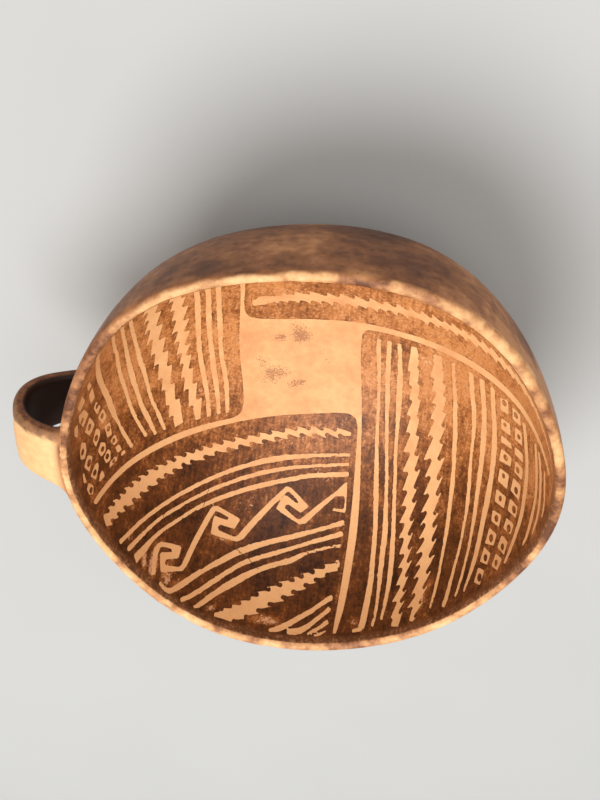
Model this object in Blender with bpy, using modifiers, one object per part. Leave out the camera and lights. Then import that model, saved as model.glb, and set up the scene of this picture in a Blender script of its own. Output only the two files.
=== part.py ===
"""Handled pottery bowl: one piece of fired clay, a deep bowl with a strap handle on its side.

Metres, +Z up. The origin is the middle of the worn flat that the bowl stands on, and the
handle points along +X. Bowl and strap are shaped on a true circle and joined, and then the
whole piece is drawn a few millimetres out of round, the way a bowl built up by hand is.
"""
import math

import bmesh
import bpy
from mathutils import Vector
from mathutils.geometry import interpolate_bezier

MM = 0.001

# Bowl
RIM_RADIUS = 115.0 * MM      # outside of the lip, before the bowl is drawn out of round
HEIGHT = 109.5 * MM          # lip above the worn flat
FLAT_RADIUS = 20.0 * MM      # worn flat that the bowl stands on
OUTER_FULLNESS = 2.2         # power of the rounded outline outside, where 2 is a plain ellipse
INNER_FULLNESS = 2.27        # and inside, where the wall thickens a little towards the floor
WALL = 5.2 * MM
LIP = 5.2 * MM
FLOOR = 6.0 * MM

# Strap handle, a loop that stands on edge from the lip down to the upper body
STRAP_WIDTH = 28.0 * MM
STRAP_THICKNESS = 6.3 * MM
STRAP_EDGE = 2.5 * MM        # rounding of the strap's edges
HANDLE_REACH = 23.4 * MM     # middle of the strap beyond the lip, at its widest
TOP_ROOT = 4.4 * MM          # middle of the upper root below the lip
FOOT_ROOT = 49.0 * MM        # middle of the lower root below the lip
ROOT_GRIP = 0.6              # share of the wall that the strap's ends sink into
TOP_FLARE = 10.0 * MM        # extra width where the strap springs from the lip
FOOT_FLARE = 9.0 * MM        # extra width where it meets the body
FLARE_LENGTH = 0.33          # share of the strap's length that each flare takes
STRAP_SHIFT = -0.4 * MM      # the strap stands a little to the -Y side
TOP_SHIFT = 4.2 * MM         # but its upper root spreads mostly to the +Y side

# Sweep of the loop, as shares of its reach and of the drop between its roots
WIDEST_SHARE = 0.44          # how far down it stands out most
TOP_RUN = 0.75               # how far it runs level from the lip before it turns down
SIDE_RUN = 0.28              # how far it runs upright above and below its widest
FOOT_RUN = 0.95              # how far it runs level into the body
FOOT_RISE = 0.08             # and how much it slopes down on the way

# Hand-made unevenness: how many swells go round, how far each stands out, where one peaks
ROUND_SWELLS = ((2, 4.2 * MM, 83.0), (3, 1.3 * MM, -25.0), (5, 0.7 * MM, 21.0), (6, 0.9 * MM, 7.0))
LIP_WAVES = ((2, 0.9 * MM, 37.0), (3, 1.1 * MM, -53.0))

# Fineness
SIDES = 72
WALL_STEPS = 17
LIP_STEPS = 6
STRAP_STEPS = 26
STRAP_STRIPS = 6
MERGE = 0.01 * MM

CLAY = (0.33, 0.17, 0.085, 1.0)
CLAY_ROUGHNESS = 0.75


def clear_scene():
    for thing in list(bpy.data.objects):
        bpy.data.objects.remove(thing, do_unlink=True)


def make_collection(name):
    collection = bpy.data.collections.new(name)
    bpy.context.scene.collection.children.link(collection)
    return collection


def clay_material():
    material = bpy.data.materials.new("fired_clay")
    material.use_nodes = True
    shader = material.node_tree.nodes["Principled BSDF"]
    shader.inputs["Base Color"].default_value = CLAY
    shader.inputs["Roughness"].default_value = CLAY_ROUGHNESS
    shader.inputs["Metallic"].default_value = 0.0
    return material


def full_depth():
    """Depth at which the outside would close if it weren't worn flat."""
    share = FLAT_RADIUS / RIM_RADIUS
    return HEIGHT / (1 - share ** OUTER_FULLNESS) ** (1 / OUTER_FULLNESS)


def round_outline(radius, depth, fullness, turn):
    """Point of the rounded outline below the lip: turn 0 is the bottom, a right angle the rim."""
    out = radius * math.sin(turn) ** (2 / fullness)
    down = depth * math.cos(turn) ** (2 / fullness)
    return out, HEIGHT - down


def turn_at(depth, fullness, down):
    """The outline's turn where it lies this far below the lip."""
    return math.acos((down / depth) ** (fullness / 2))


def wall_radius(down):
    """Outer radius of the round bowl this far below the lip."""
    turn = turn_at(full_depth(), OUTER_FULLNESS, down)
    return round_outline(RIM_RADIUS, full_depth(), OUTER_FULLNESS, turn)[0]


def bowl_profile():
    """Points from the middle of the floor up the inside, over the lip and down the outside."""
    inner_radius = RIM_RADIUS - WALL
    inner_depth = HEIGHT - FLOOR
    lip_radius = LIP / 2
    inner_end = turn_at(inner_depth, INNER_FULLNESS, lip_radius)
    points = [(0.0, FLOOR)]
    for step in range(1, WALL_STEPS):
        turn = inner_end * step / WALL_STEPS
        points.append(round_outline(inner_radius, inner_depth, INNER_FULLNESS, turn))
    for step in range(LIP_STEPS + 1):
        angle = math.pi * (1 - step / LIP_STEPS)
        out = RIM_RADIUS - lip_radius + lip_radius * math.cos(angle)
        points.append((out, HEIGHT - lip_radius + lip_radius * math.sin(angle)))
    depth = full_depth()
    outer_start = turn_at(depth, OUTER_FULLNESS, lip_radius)
    outer_end = turn_at(depth, OUTER_FULLNESS, HEIGHT)
    for step in range(1, WALL_STEPS + 1):
        turn = outer_start + (outer_end - outer_start) * step / WALL_STEPS
        points.append(round_outline(RIM_RADIUS, depth, OUTER_FULLNESS, turn))
    points.append((0.0, 0.0))
    return points


def turned_bowl(collection):
    """The bowl as a profile turned about the upright axis."""
    mesh = bpy.data.meshes.new("bowl_profile")
    points = bowl_profile()
    edges = [(i, i + 1) for i in range(len(points) - 1)]
    mesh.from_pydata([(out, 0.0, up) for out, up in points], edges, [])
    bowl = bpy.data.objects.new("handled_bowl", mesh)
    collection.objects.link(bowl)
    screw = bowl.modifiers.new("turn", "SCREW")
    screw.axis = "Z"
    screw.angle = math.radians(360)
    screw.steps = SIDES
    screw.render_steps = SIDES
    screw.use_merge_vertices = True
    screw.merge_threshold = MERGE
    return bowl


def strap_line():
    """Middle line of the strap beyond the lip and below it, from its upper to its lower root."""
    drop = FOOT_ROOT - TOP_ROOT
    grip = ROOT_GRIP * WALL
    foot_out = wall_radius(FOOT_ROOT) - RIM_RADIUS - grip
    top = Vector((-grip, 0.0, -TOP_ROOT))
    widest = Vector((HANDLE_REACH, 0.0, -TOP_ROOT - WIDEST_SHARE * drop))
    foot = Vector((foot_out, 0.0, -FOOT_ROOT))
    leave_top = top + Vector((TOP_RUN * HANDLE_REACH, 0.0, 0.0))
    side_run = Vector((0.0, 0.0, SIDE_RUN * drop))
    into_foot = foot + Vector((FOOT_RUN * HANDLE_REACH, 0.0, FOOT_RISE * drop))
    half = STRAP_STEPS // 2 + 1
    upper = interpolate_bezier(top, leave_top, widest + side_run, widest, half)
    lower = interpolate_bezier(widest, widest - side_run, into_foot, foot, half)
    return upper + lower[1:]


def strap_edges(along):
    """Side shift and half width of the strap at a share of its length."""
    top_flare = max(0.0, 1 - along / FLARE_LENGTH) ** 2
    foot_flare = max(0.0, 1 - (1 - along) / FLARE_LENGTH) ** 2
    shift = STRAP_SHIFT + TOP_SHIFT * top_flare
    half_width = (STRAP_WIDTH + TOP_FLARE * top_flare + FOOT_FLARE * foot_flare) / 2
    return shift, half_width


def strap_handle(collection):
    """The strap: a flat grid laid along its line, bent round the bowl's axis and thickened."""
    line = strap_line()
    bpy.ops.mesh.primitive_grid_add(x_subdivisions=len(line) - 1, y_subdivisions=STRAP_STRIPS, size=2)
    strap = bpy.context.active_object
    strap.name = "strap"
    for vertex in strap.data.vertices:
        step = round((vertex.co.x + 1) / 2 * (len(line) - 1))
        shift, half_width = strap_edges(step / (len(line) - 1))
        radius = RIM_RADIUS + line[step].x
        angle = (shift + half_width * vertex.co.y) / RIM_RADIUS
        height = HEIGHT + line[step].z
        vertex.co = Vector((radius * math.cos(angle), radius * math.sin(angle), height))
    thicken = strap.modifiers.new("thickness", "SOLIDIFY")
    thicken.thickness = STRAP_THICKNESS
    thicken.offset = 0.0
    thicken.use_even_offset = True
    soften = strap.modifiers.new("soft_edges", "BEVEL")
    soften.width = STRAP_EDGE
    soften.segments = 3
    soften.limit_method = "ANGLE"
    soften.angle_limit = math.radians(60)
    strap.modifiers.new("triangles", "TRIANGULATE")
    for owner in list(strap.users_collection):
        owner.objects.unlink(strap)
    collection.objects.link(strap)
    strap.hide_render = True
    strap.display_type = "WIRE"
    return strap


def join_strap(bowl, strap):
    """Lute the strap to the bowl, and keep the result as the bowl's own mesh."""
    union = bowl.modifiers.new("luted_strap", "BOOLEAN")
    union.operation = "UNION"
    union.solver = "EXACT"
    union.object = strap
    bpy.context.view_layer.update()
    evaluated = bowl.evaluated_get(bpy.context.evaluated_depsgraph_get())
    mesh = bpy.data.meshes.new_from_object(evaluated)
    bowl.modifiers.clear()
    bowl.data = mesh
    bpy.data.objects.remove(strap, do_unlink=True)


def swell(swells, angle):
    """Sum of the swells in a direction."""
    return sum(reach * math.cos(count * (angle - math.radians(peak))) for count, reach, peak in swells)


def draw_out_of_round(bowl):
    """Push the walls in and out and the lip up and down, fading to nothing at the flat."""
    for vertex in bowl.data.vertices:
        radius = math.hypot(vertex.co.x, vertex.co.y)
        if radius == 0.0:
            continue
        angle = math.atan2(vertex.co.y, vertex.co.x)
        width_share = min(1.0, radius / RIM_RADIUS)
        height_share = vertex.co.z / HEIGHT
        grown = (radius + swell(ROUND_SWELLS, angle) * width_share ** 2) / radius
        vertex.co.x *= grown
        vertex.co.y *= grown
        vertex.co.z += swell(LIP_WAVES, angle) * height_share ** 2


def tidy_mesh(bowl):
    """Merge points that fall together, split to triangles and shade the round faces smooth."""
    work = bmesh.new()
    work.from_mesh(bowl.data)
    bmesh.ops.remove_doubles(work, verts=work.verts, dist=MERGE)
    bmesh.ops.dissolve_degenerate(work, edges=work.edges, dist=MERGE)
    bmesh.ops.triangulate(work, faces=work.faces)
    work.to_mesh(bowl.data)
    work.free()
    bowl.data.shade_smooth()
    bowl.data.set_sharp_from_angle(angle=math.radians(40))


def build():
    clear_scene()
    pottery = make_collection("handled_pottery_bowl")
    guides = make_collection("guides")
    bowl = turned_bowl(pottery)
    strap = strap_handle(guides)
    join_strap(bowl, strap)
    draw_out_of_round(bowl)
    tidy_mesh(bowl)
    bowl.data.materials.clear()
    bowl.data.materials.append(clay_material())


build()
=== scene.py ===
# %% [markdown]
# # A handled pottery bowl
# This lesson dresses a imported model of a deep, round-bottomed bowl with a strap handle. The packed
# model is the frame: it says how big the bowl is and where it stands. Here it gets a fine surface,
# its painted inside, its bare lip and its smoke-mottled outside.

# %% Load the frame
import math
import bpy
import numpy as np
from mathutils import Matrix, Vector, noise
from mathutils.geometry import delaunay_2d_cdt, interpolate_bezier


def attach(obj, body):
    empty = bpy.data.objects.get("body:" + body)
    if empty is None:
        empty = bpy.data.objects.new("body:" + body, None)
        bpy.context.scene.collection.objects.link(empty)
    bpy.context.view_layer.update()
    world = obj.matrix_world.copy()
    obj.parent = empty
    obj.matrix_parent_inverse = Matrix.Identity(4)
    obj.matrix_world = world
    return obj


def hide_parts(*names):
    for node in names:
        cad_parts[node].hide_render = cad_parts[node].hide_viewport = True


MM = 0.001


def in_mm(lengths):
    return [round(float(length) / MM, 1) for length in lengths]


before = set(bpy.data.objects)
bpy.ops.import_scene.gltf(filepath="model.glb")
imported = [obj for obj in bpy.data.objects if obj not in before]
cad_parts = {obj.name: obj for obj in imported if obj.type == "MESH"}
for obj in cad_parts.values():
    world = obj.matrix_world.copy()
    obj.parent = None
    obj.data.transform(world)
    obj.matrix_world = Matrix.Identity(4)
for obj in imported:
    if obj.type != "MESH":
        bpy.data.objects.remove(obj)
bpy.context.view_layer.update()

# %% [markdown]
# ## The camera
# The picture shows the bowl from above, upside down, at arm's length. A camera is worked out from a
# few facts: how far it is from the middle of the rim, how high it looks down, which picture point the
# middle of the rim falls on, and how far the picture is rolled. The half turn comes last.

# %% Camera
PICTURE = (600, 800)                    # width and height of the photograph in pixels
SENSOR_MM = 36.0                        # along the picture's long side
LENS_MM = 45.0
RIM_HEIGHT = 109.5 * MM
CAMERA_DISTANCE = 444.0 * MM            # from the middle of the rim
CAMERA_SIDE = math.radians(-3.0)        # towards -X from straight in front
CAMERA_RISE = math.radians(43.15)
RIM_ACROSS, RIM_DOWN = 296.1, 306.7     # picture point of the rim's middle, picture turned upright
CAMERA_ROLL = math.radians(-9.28)

focal_pixels = LENS_MM / SENSOR_MM * PICTURE[1]
back = Vector((math.sin(CAMERA_SIDE) * math.cos(CAMERA_RISE),
               -math.cos(CAMERA_SIDE) * math.cos(CAMERA_RISE),
               math.sin(CAMERA_RISE)))
camera_place = Vector((0, 0, RIM_HEIGHT)) + back * CAMERA_DISTANCE
level_right = (-back).cross(Vector((0, 0, 1))).normalized()
level_up = level_right.cross(-back)
ray = Vector((RIM_ACROSS - PICTURE[0] / 2, PICTURE[1] / 2 - RIM_DOWN, focal_pixels)).normalized()
side = Vector((0, 1, 0)).cross(ray).normalized()
aimed = Matrix((side, ray.cross(side), ray)).transposed() @ Matrix((level_right, level_up, -back))
axes = Matrix.Rotation(CAMERA_ROLL, 3, ray) @ aimed
half_turn = Matrix(((-1, 0, 0), (0, -1, 0), (0, 0, -1)))    # and a camera looks along its own -Z
turned_axes = half_turn @ axes

camera_data = bpy.data.cameras.new("camera")
camera_data.sensor_width = SENSOR_MM
camera_data.sensor_fit = "AUTO"
camera_data.lens = LENS_MM
camera = bpy.data.objects.new("camera", camera_data)
camera.matrix_world = Matrix.Translation(camera_place) @ turned_axes.transposed().to_4x4()
bpy.context.scene.collection.objects.link(camera)
bpy.context.scene.camera = camera
print("camera at", in_mm(camera_place), "mm")

# %% [markdown]
# ## The bowl's sizes
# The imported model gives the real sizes. The fine surface repeats them, so that it lies on the same
# wall: a rounded outline outside, a slightly fuller one inside, and a half-round lip between them.

# %% Sizes of the bowl
RIM_RADIUS = 115.0 * MM
FLAT_RADIUS = 20.0 * MM
OUTER_FULLNESS = 2.2
INNER_FULLNESS = 2.27
WALL = 5.2 * MM
LIP = 5.2 * MM
FLOOR = 6.0 * MM
ROUND_SWELLS = ((2, 4.2 * MM, 83.0), (3, 1.3 * MM, -25.0), (5, 0.7 * MM, 21.0), (6, 0.9 * MM, 7.0))
LIP_WAVES = ((2, 0.9 * MM, 37.0), (3, 1.1 * MM, -53.0))
WALL_STEPS = 1500                       # fine steps up the inside, and again down the outside
LIP_STEPS = 375                         # and over the lip
TINY = 1e-12                            # keeps a division away from zero


def rounded(radius, depth, fullness, turn):
    """Rounded outline below the rim: turn 0 is the bottom, a right angle the rim."""
    out = radius * np.sin(turn) ** (2 / fullness)
    up = RIM_HEIGHT - depth * np.cos(turn) ** (2 / fullness)
    return out, up


def turn_for(depth, fullness, down):
    return math.acos((down / depth) ** (fullness / 2))


def way_along(line):
    """Distance along a line of points to each of them."""
    return np.concatenate(([0.0], np.cumsum(np.hypot(*np.diff(line, axis=0).T))))


def wall_line():
    """The wall from the middle of the floor up the inside, over the lip and down to the worn flat."""
    lip_radius = LIP / 2
    inner_depth = RIM_HEIGHT - FLOOR
    inner_turns = np.linspace(0, turn_for(inner_depth, INNER_FULLNESS, lip_radius), WALL_STEPS)
    inside = rounded(RIM_RADIUS - WALL, inner_depth, INNER_FULLNESS, inner_turns)
    over = np.linspace(math.pi, 0, LIP_STEPS)
    lip = (RIM_RADIUS - lip_radius + lip_radius * np.cos(over),
           RIM_HEIGHT - lip_radius + lip_radius * np.sin(over))
    worn_share = 1 - (FLAT_RADIUS / RIM_RADIUS) ** OUTER_FULLNESS
    outer_depth = RIM_HEIGHT / worn_share ** (1 / OUTER_FULLNESS)
    outer_turns = np.linspace(turn_for(outer_depth, OUTER_FULLNESS, lip_radius),
                              turn_for(outer_depth, OUTER_FULLNESS, RIM_HEIGHT), WALL_STEPS)
    outside = rounded(RIM_RADIUS, outer_depth, OUTER_FULLNESS, outer_turns)
    out, up = np.concatenate((inside, lip, outside), axis=1)
    return way_along(np.stack((out, up), axis=-1)), out, up


WAY, WAY_OUT, WAY_UP = wall_line()
INSIDE_END = WAY[WALL_STEPS - 1]
LIP_TOP = WAY[WALL_STEPS + LIP_STEPS // 2]
FLAT_EDGE = WAY[-1]
print("way up the inside, to the lip's top and to the flat:", in_mm((INSIDE_END, LIP_TOP, FLAT_EDGE)), "mm")


def on_wall(way, angle):
    """Points of the round wall, before it is drawn out of round: distance along it and direction."""
    out = np.interp(way, WAY, WAY_OUT)
    up = np.interp(way, WAY, WAY_UP)
    return np.stack((out * np.cos(angle), out * np.sin(angle), up), axis=-1)


def swell(swells, angle):
    return sum(reach * np.cos(count * (angle - math.radians(peak))) for count, reach, peak in swells)


def drawn_out_of_round(points):
    """Push the walls in and out and the lip up and down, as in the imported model."""
    radius = np.hypot(points[:, 0], points[:, 1])
    angle = np.arctan2(points[:, 1], points[:, 0])
    share = np.minimum(1.0, radius / RIM_RADIUS)
    grown = 1 + swell(ROUND_SWELLS, angle) * share ** 2 / np.maximum(radius, TINY)
    lifted = points[:, 2] + swell(LIP_WAVES, angle) * (points[:, 2] / RIM_HEIGHT) ** 2
    return np.stack((points[:, 0] * grown, points[:, 1] * grown, lifted), axis=-1)

# %% [markdown]
# ## A chart for the painter
# The painter worked inside a bowl, but the strokes are easier to lay out on a flat chart. The chart
# keeps every distance from the middle of the floor along the wall. It is centred on the plain square
# that the four painted panels turn round, and is measured in millimetres.

# %% Chart
SQUARE_MIDDLE = (11.2, 13.8)            # middle of the plain square, mm from the floor's middle
CHART_TURN = math.radians(3.7)


def chart_of(way, angle):
    """Chart point in mm for a place on the inner wall."""
    across = way / MM * np.cos(angle) - SQUARE_MIDDLE[0]
    up = way / MM * np.sin(angle) - SQUARE_MIDDLE[1]
    cosine, sine = math.cos(CHART_TURN), math.sin(CHART_TURN)
    return np.stack((across * cosine + up * sine, up * cosine - across * sine), axis=-1)

# %% [markdown]
# ## Brush strokes
# The pattern is dark paint on a pale slip, and the pale lines are what the painter left open. Each
# open shape is an outline on the chart. A line is a smooth path with a width that changes along it,
# and a small seeded wobble keeps it hand-made.

# %% Lines
open_shapes = []                        # outlines that the paint leaves open
fine_shapes = []                        # those of them that need a finer skin round them
dark_marks = []                         # dark marks set back into them
wobble = np.random.default_rng(11)
LINE_STEP = 1.3                         # mm between the points of a line's outline
LINE_WOBBLE = 0.13                      # mm


def smooth_path(stops, step):
    """A smooth path through the stops. Each stop is a chart point with more values behind it."""
    stops = np.array(stops, float)
    first, last = 2 * stops[0] - stops[1], 2 * stops[-1] - stops[-2]
    rows = np.vstack((first, stops, last))
    path = []
    for before, start, end, after in zip(rows, rows[1:], rows[2:], rows[3:]):
        pieces = max(2, round(float(np.hypot(*(end - start)[:2])) / step))
        t = np.linspace(0, 1, pieces, endpoint=False)[:, None]
        curve = 2 * start + (end - before) * t + (2 * before - 5 * start + 4 * end - after) * t ** 2
        curve = curve + (3 * start - before - 3 * end + after) * t ** 3
        path.append(curve / 2)
    return np.vstack(path + [stops[-1:]])


def left_of(path):
    """Unit direction to the left of the path at each of its points."""
    along = np.gradient(path[:, :2], axis=0)
    along /= np.hypot(along[:, 0], along[:, 1])[:, None]
    return np.stack((-along[:, 1], along[:, 0]), axis=-1)


def open_line(*stops):
    """An open line with square ends: stops are (across, up, width) in mm on the chart."""
    path = smooth_path(stops, LINE_STEP)
    left = left_of(path)
    half = path[:, 2:3] / 2
    jitter = wobble.normal(0, LINE_WOBBLE, (2, len(path), 1))
    one = path[:, :2] + left * (half + jitter[0])
    other = path[:, :2] - left * (half + jitter[1])
    open_shapes.append(np.vstack((one, other[::-1])))

# %% [markdown]
# A patch is an open shape with softened corners, and the small squares are patches with a dark dot
# inside. A soft corner is a curve that leaves one side, heads for the corner and ends on the other.

# %% Patches, dots and squares
CORNER_STEPS = 4
DOT_SIDES = 12
DOT_SPREAD = 0.8                        # mm that the paint of a dot runs
SQUARE_CORNER = 0.9                     # mm cut off a small square's corners


def bend(share, start, middle, end):
    """Points on a curve that leaves the start, heads for the middle and comes round to the end."""
    return (1 - share) ** 2 * start + 2 * share * (1 - share) * middle + share ** 2 * end


def open_patch(*corners, soft):
    """An open shape whose corners are cut back this many mm and rounded."""
    corners = np.array(corners, float)
    share = np.linspace(0, 1, CORNER_STEPS)[:, None]
    outline = []
    for before, here, after in zip(np.roll(corners, 1, 0), corners, np.roll(corners, -1, 0)):
        ends = []
        for run in (before - here, after - here):
            length = np.hypot(*run)
            ends.append(here + run / length * min(soft, length / 3))
        outline.append(bend(share, ends[0], here, ends[1]))
    open_shapes.append(np.vstack(outline))


def dark_dot(across, up, wide, high):
    turn = np.linspace(0, 2 * math.pi, DOT_SIDES, endpoint=False)
    dark_marks.append(np.stack((across + wide / 2 * np.cos(turn), up + high / 2 * np.sin(turn)), axis=-1))


def dotted_square(*points):
    """A small open square: its corners in turn, and then its dot as (across, up, width, height)."""
    corners = [point for point in points if len(point) == 2]
    open_patch(*corners, soft=SQUARE_CORNER)
    fine_shapes.append(open_shapes[-1])
    for across, up, wide, high in points[len(corners):]:
        dark_dot(across, up, wide + DOT_SPREAD, high + DOT_SPREAD)

# %% [markdown]
# A serrated band is a path with hooked teeth on both sides. Beside each tooth the dark paint pushes a
# round finger into the band, a little ahead of the tooth's tip. Where the fingers go deeper, the
# teeth between them are blunt and keep their height up to the finger.

# %% Serrated bands
ACROSS, UP = 0, 1                       # the chart's two axes
TIPS, FINGERS = 2, 3                    # places in a stop of the reach of the tips and of the fingers
BAND_STEP = 1.0                         # mm between the points of the path
TOOTH_POINT = 1.0                       # mm added to a tooth, because its fine point wears off
TIP_WOBBLE = 0.2                        # mm in the height of a tooth
FINGER_WOBBLE = 0.15                    # mm in the place of a finger
FINGER_SIDE = 0.9                       # where the tooth meets the finger, in half finger widths
FINGER_NECK = 0.35                      # and how high up the finger, in half finger widths
BLUNT_RUN = 2.1                         # half finger widths that a blunt tooth keeps its height for
BLUNT_DROP = 0.6                        # mm that it has come down by at the next finger


def serrated_band(stops, left_tips, right_tips, along_axis, leads=(0.7, 0.7), finger_wide=2.6, deeper=0.0):
    """An open band with hooked teeth. Stops are (across, up, reach of the tips, reach of the fingers),
    and the tips are given by how far along one axis of the chart they lie."""
    path = smooth_path(stops, BAND_STEP)
    left = left_of(path)
    length = way_along(path[:, :2])
    rising = path[-1, along_axis] > path[0, along_axis]
    order = slice(None) if rising else slice(None, None, -1)

    def at(station, side, column, further=0.0):
        here = [np.interp(station, length, values) for values in (*path.T, *left.T)]
        *_, left_across, left_up = here
        reach = here[column] + further
        return np.array((here[ACROSS] + side * reach * left_across, here[UP] + side * reach * left_up))

    half_finger = finger_wide / 2
    outline = []
    for side, tips, lead in ((1, left_tips, leads[0]), (-1, right_tips, leads[1])):
        edge = [at(0, side, FINGERS)]
        for station in sorted(np.interp(tips, path[order, along_axis], length[order])):
            tip = at(station, side, TIPS, TOOTH_POINT + wobble.normal(0, TIP_WOBBLE))
            finger = station - lead + wobble.normal(0, FINGER_WOBBLE)
            if not half_finger < finger < length[-1] - half_finger:
                edge.append(tip)
                continue
            necks = (finger + step * side * FINGER_SIDE * half_finger for step in (1, -1))
            neck_height = FINGER_NECK * half_finger - deeper
            tooth = [tip, *(at(neck, side, FINGERS, neck_height) for neck in necks)]
            if deeper > 0:
                tooth.append(at(finger - side * BLUNT_RUN * half_finger, side, TIPS, -BLUNT_DROP))
            edge += tooth[::-1] if side > 0 else tooth
            dark_dot(*at(finger, side, FINGERS, half_finger - deeper), finger_wide, finger_wide)
        edge.append(at(length[-1], side, FINGERS if side > 0 else TIPS))
        outline.append(np.array(edge))
    open_shapes.append(np.vstack((outline[0], outline[1][::-1])))
    fine_shapes.append(open_shapes[-1])

# %% [markdown]
# ## The plain square and its four arms
# A plain square lies near the middle of the floor. From each of its corners a pale arm runs to the
# rim, so the four panels turn round the square like a pinwheel. The square with its arms is one open
# shape, drawn from corner to corner.

# %% Square and arms
open_patch(
    (-33.8, 150), (-35.8, 134), (-36, 112), (-36, 92), (-34.8, 72), (-33.4, 56), (-32.4, 38), (-31, 12),
    (-29.6, -12), (-29.7, -24), (-31.8, -28.8), (-44, -28.5), (-60, -27.5), (-80, -26.5), (-102, -26),
    (-126, -26), (-146, -25), (-168, -24), (-168, -28.4), (-148, -29.2), (-126, -31), (-100, -31),
    (-76, -31.1), (-52, -31.6), (-30, -32.8), (-6, -32.5), (12, -32.4), (22, -33.6), (28, -35.8),
    (29.9, -40), (29.9, -47), (28.4, -56), (27.6, -72), (26.5, -100), (25.5, -130), (25, -165),
    (28.6, -165), (29.4, -130), (30, -100), (30.3, -72), (30.6, -58), (31.8, -46), (33.2, -35), (34.1, -22),
    (34, -8), (33.4, 4), (33, 20), (34.6, 26.6), (39.5, 28.7), (56, 29), (90, 29.2), (112, 29.3),
    (130, 30.3), (143, 31), (141, 35.2), (128, 34), (110, 33.1), (80, 33.2), (50, 32.4), (30, 30.9),
    (14, 29.3), (-4, 27.9), (-16, 26.6), (-24.5, 26), (-28.6, 28.4), (-30, 33), (-30.2, 52), (-30.6, 72),
    (-31, 96), (-31, 120), (-31, 140), (-31.4, 150), soft=3.0)
print("square and arms:", len(open_shapes[-1]), "points")

# %% [markdown]
# ## The left panel
# Three lines, two serrated bands, one line, a wide dark band, three more lines, two columns of
# squares with a dark dot in each, and a few lines that close the panel at the rim.

# %% Left panel
LEFT_LINES = (                          # stops of each line: across, up and width in mm
    ((-52.3, 144, 4.5), (-52, 135, 4.8), (-51, 120, 4), (-49.8, 110, 3.5), (-48.5, 100, 3), (-47.3, 90, 3),
     (-46, 80, 2.8), (-44.5, 70, 3.2), (-43.3, 60, 2.8), (-42.3, 50, 2.2), (-41.3, 38, 2), (-40.9, 20, 1.8),
     (-40.2, 0, 1.8), (-39, -15, 2.2), (-38.7, -23.5, 2.2)),
    ((-53, 144.3, 2.2), (-49, 145.4, 2.4), (-45.5, 146.6, 2)),
    ((-60.3, 141.5, 2), (-59.8, 132, 2.2), (-57.8, 120, 2.6), (-56, 110, 3.4), (-54.8, 100, 3.5),
     (-53.6, 88, 3.5), (-52, 78, 2.8), (-50.4, 66, 2), (-49, 55, 2), (-47.5, 42, 2), (-46.3, 28, 2),
     (-45.7, 14, 2.5), (-45, 0, 2.5), (-44.6, -12, 2.5), (-44.4, -23.5, 2.3)),
    ((-65.8, 136, 2.2), (-64.8, 122, 2.8), (-63.2, 110, 3.4), (-61.2, 99, 3.5), (-59.3, 89, 2.8),
     (-57.8, 80, 2.7), (-56, 70, 2.4), (-54.6, 58, 2), (-53.2, 45, 2), (-52.7, 30, 2.2), (-52.3, 15, 3.2),
     (-51.9, 2, 3.1), (-51, -10, 2.4), (-49.6, -23.5, 2.3)),
    ((-103, 121.5, 1.6), (-101.7, 110, 2.5), (-100.2, 100, 2.5), (-98.3, 90, 2.2), (-96.9, 80, 2.6),
     (-95.5, 70, 3), (-94, 60, 2.6), (-92.8, 50, 3.2), (-91.3, 40, 2.8), (-89.6, 30, 2.9), (-88.2, 20, 3),
     (-86, 10, 2.8), (-84.2, 0, 2.4), (-82, -10, 2), (-79.8, -23, 1.6)),
    ((-114, 114, 3), (-113.8, 108, 3.6), (-112.2, 98, 2.9), (-111, 88, 2.4), (-110.2, 78, 2.2),
     (-108.8, 68, 2.2), (-107.3, 57, 2.6), (-105.2, 46, 2.8), (-103, 36, 2.6), (-101, 25, 2),
     (-99.6, 14, 2.6), (-97, 2, 3), (-93.7, -9, 2.9), (-90.3, -22.5, 3)),
    ((-121.8, 104, 2.2), (-121, 95, 2.4), (-119.3, 83, 2.2), (-117, 70, 2.5), (-115, 59, 3),
     (-112.6, 47, 3.4), (-110.6, 35, 3.5), (-108.5, 23, 3.6), (-106, 10, 3.9), (-103.2, -2, 3.3),
     (-100.3, -12, 3.2), (-97.5, -22.5, 3.4)),
    ((-127.9, 98, 2), (-127.6, 88, 3), (-126.8, 78, 4), (-124.8, 66, 4.1), (-122.6, 54, 4.4),
     (-121, 42, 4.5), (-118.6, 28, 3.8), (-115.8, 15, 4), (-112, 2, 3.5), (-108.3, -9, 3),
     (-105, -22.5, 3)),
    ((-156.8, 60, 2.4), (-156.4, 50, 3), (-155.2, 38, 3.6), (-153.6, 28, 4), (-150.4, 19, 4),
     (-146.7, 9, 4), (-142.8, 0, 3.5), (-137, -10, 3.4), (-131.5, -21, 3.4)),
    ((-166.5, 37, 1.8), (-166.4, 28, 3), (-163.5, 17, 3.4), (-159.5, 5, 3), (-154.5, -4, 3.4),
     (-149, -12.5, 3.2), (-144.5, -20.5, 2.6)),
    ((-171, 22, 1.6), (-169.5, 12, 2.6), (-165.8, 3, 3.3), (-160.5, -6, 3.6), (-154.3, -14.5, 3.4),
     (-149.8, -20, 2.5)),
    ((-174, 4, 1.5), (-170.5, -5, 2.5), (-165, -11.5, 3), (-160.5, -18.5, 2.4)))
for line in LEFT_LINES:
    open_line(*line)

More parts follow.
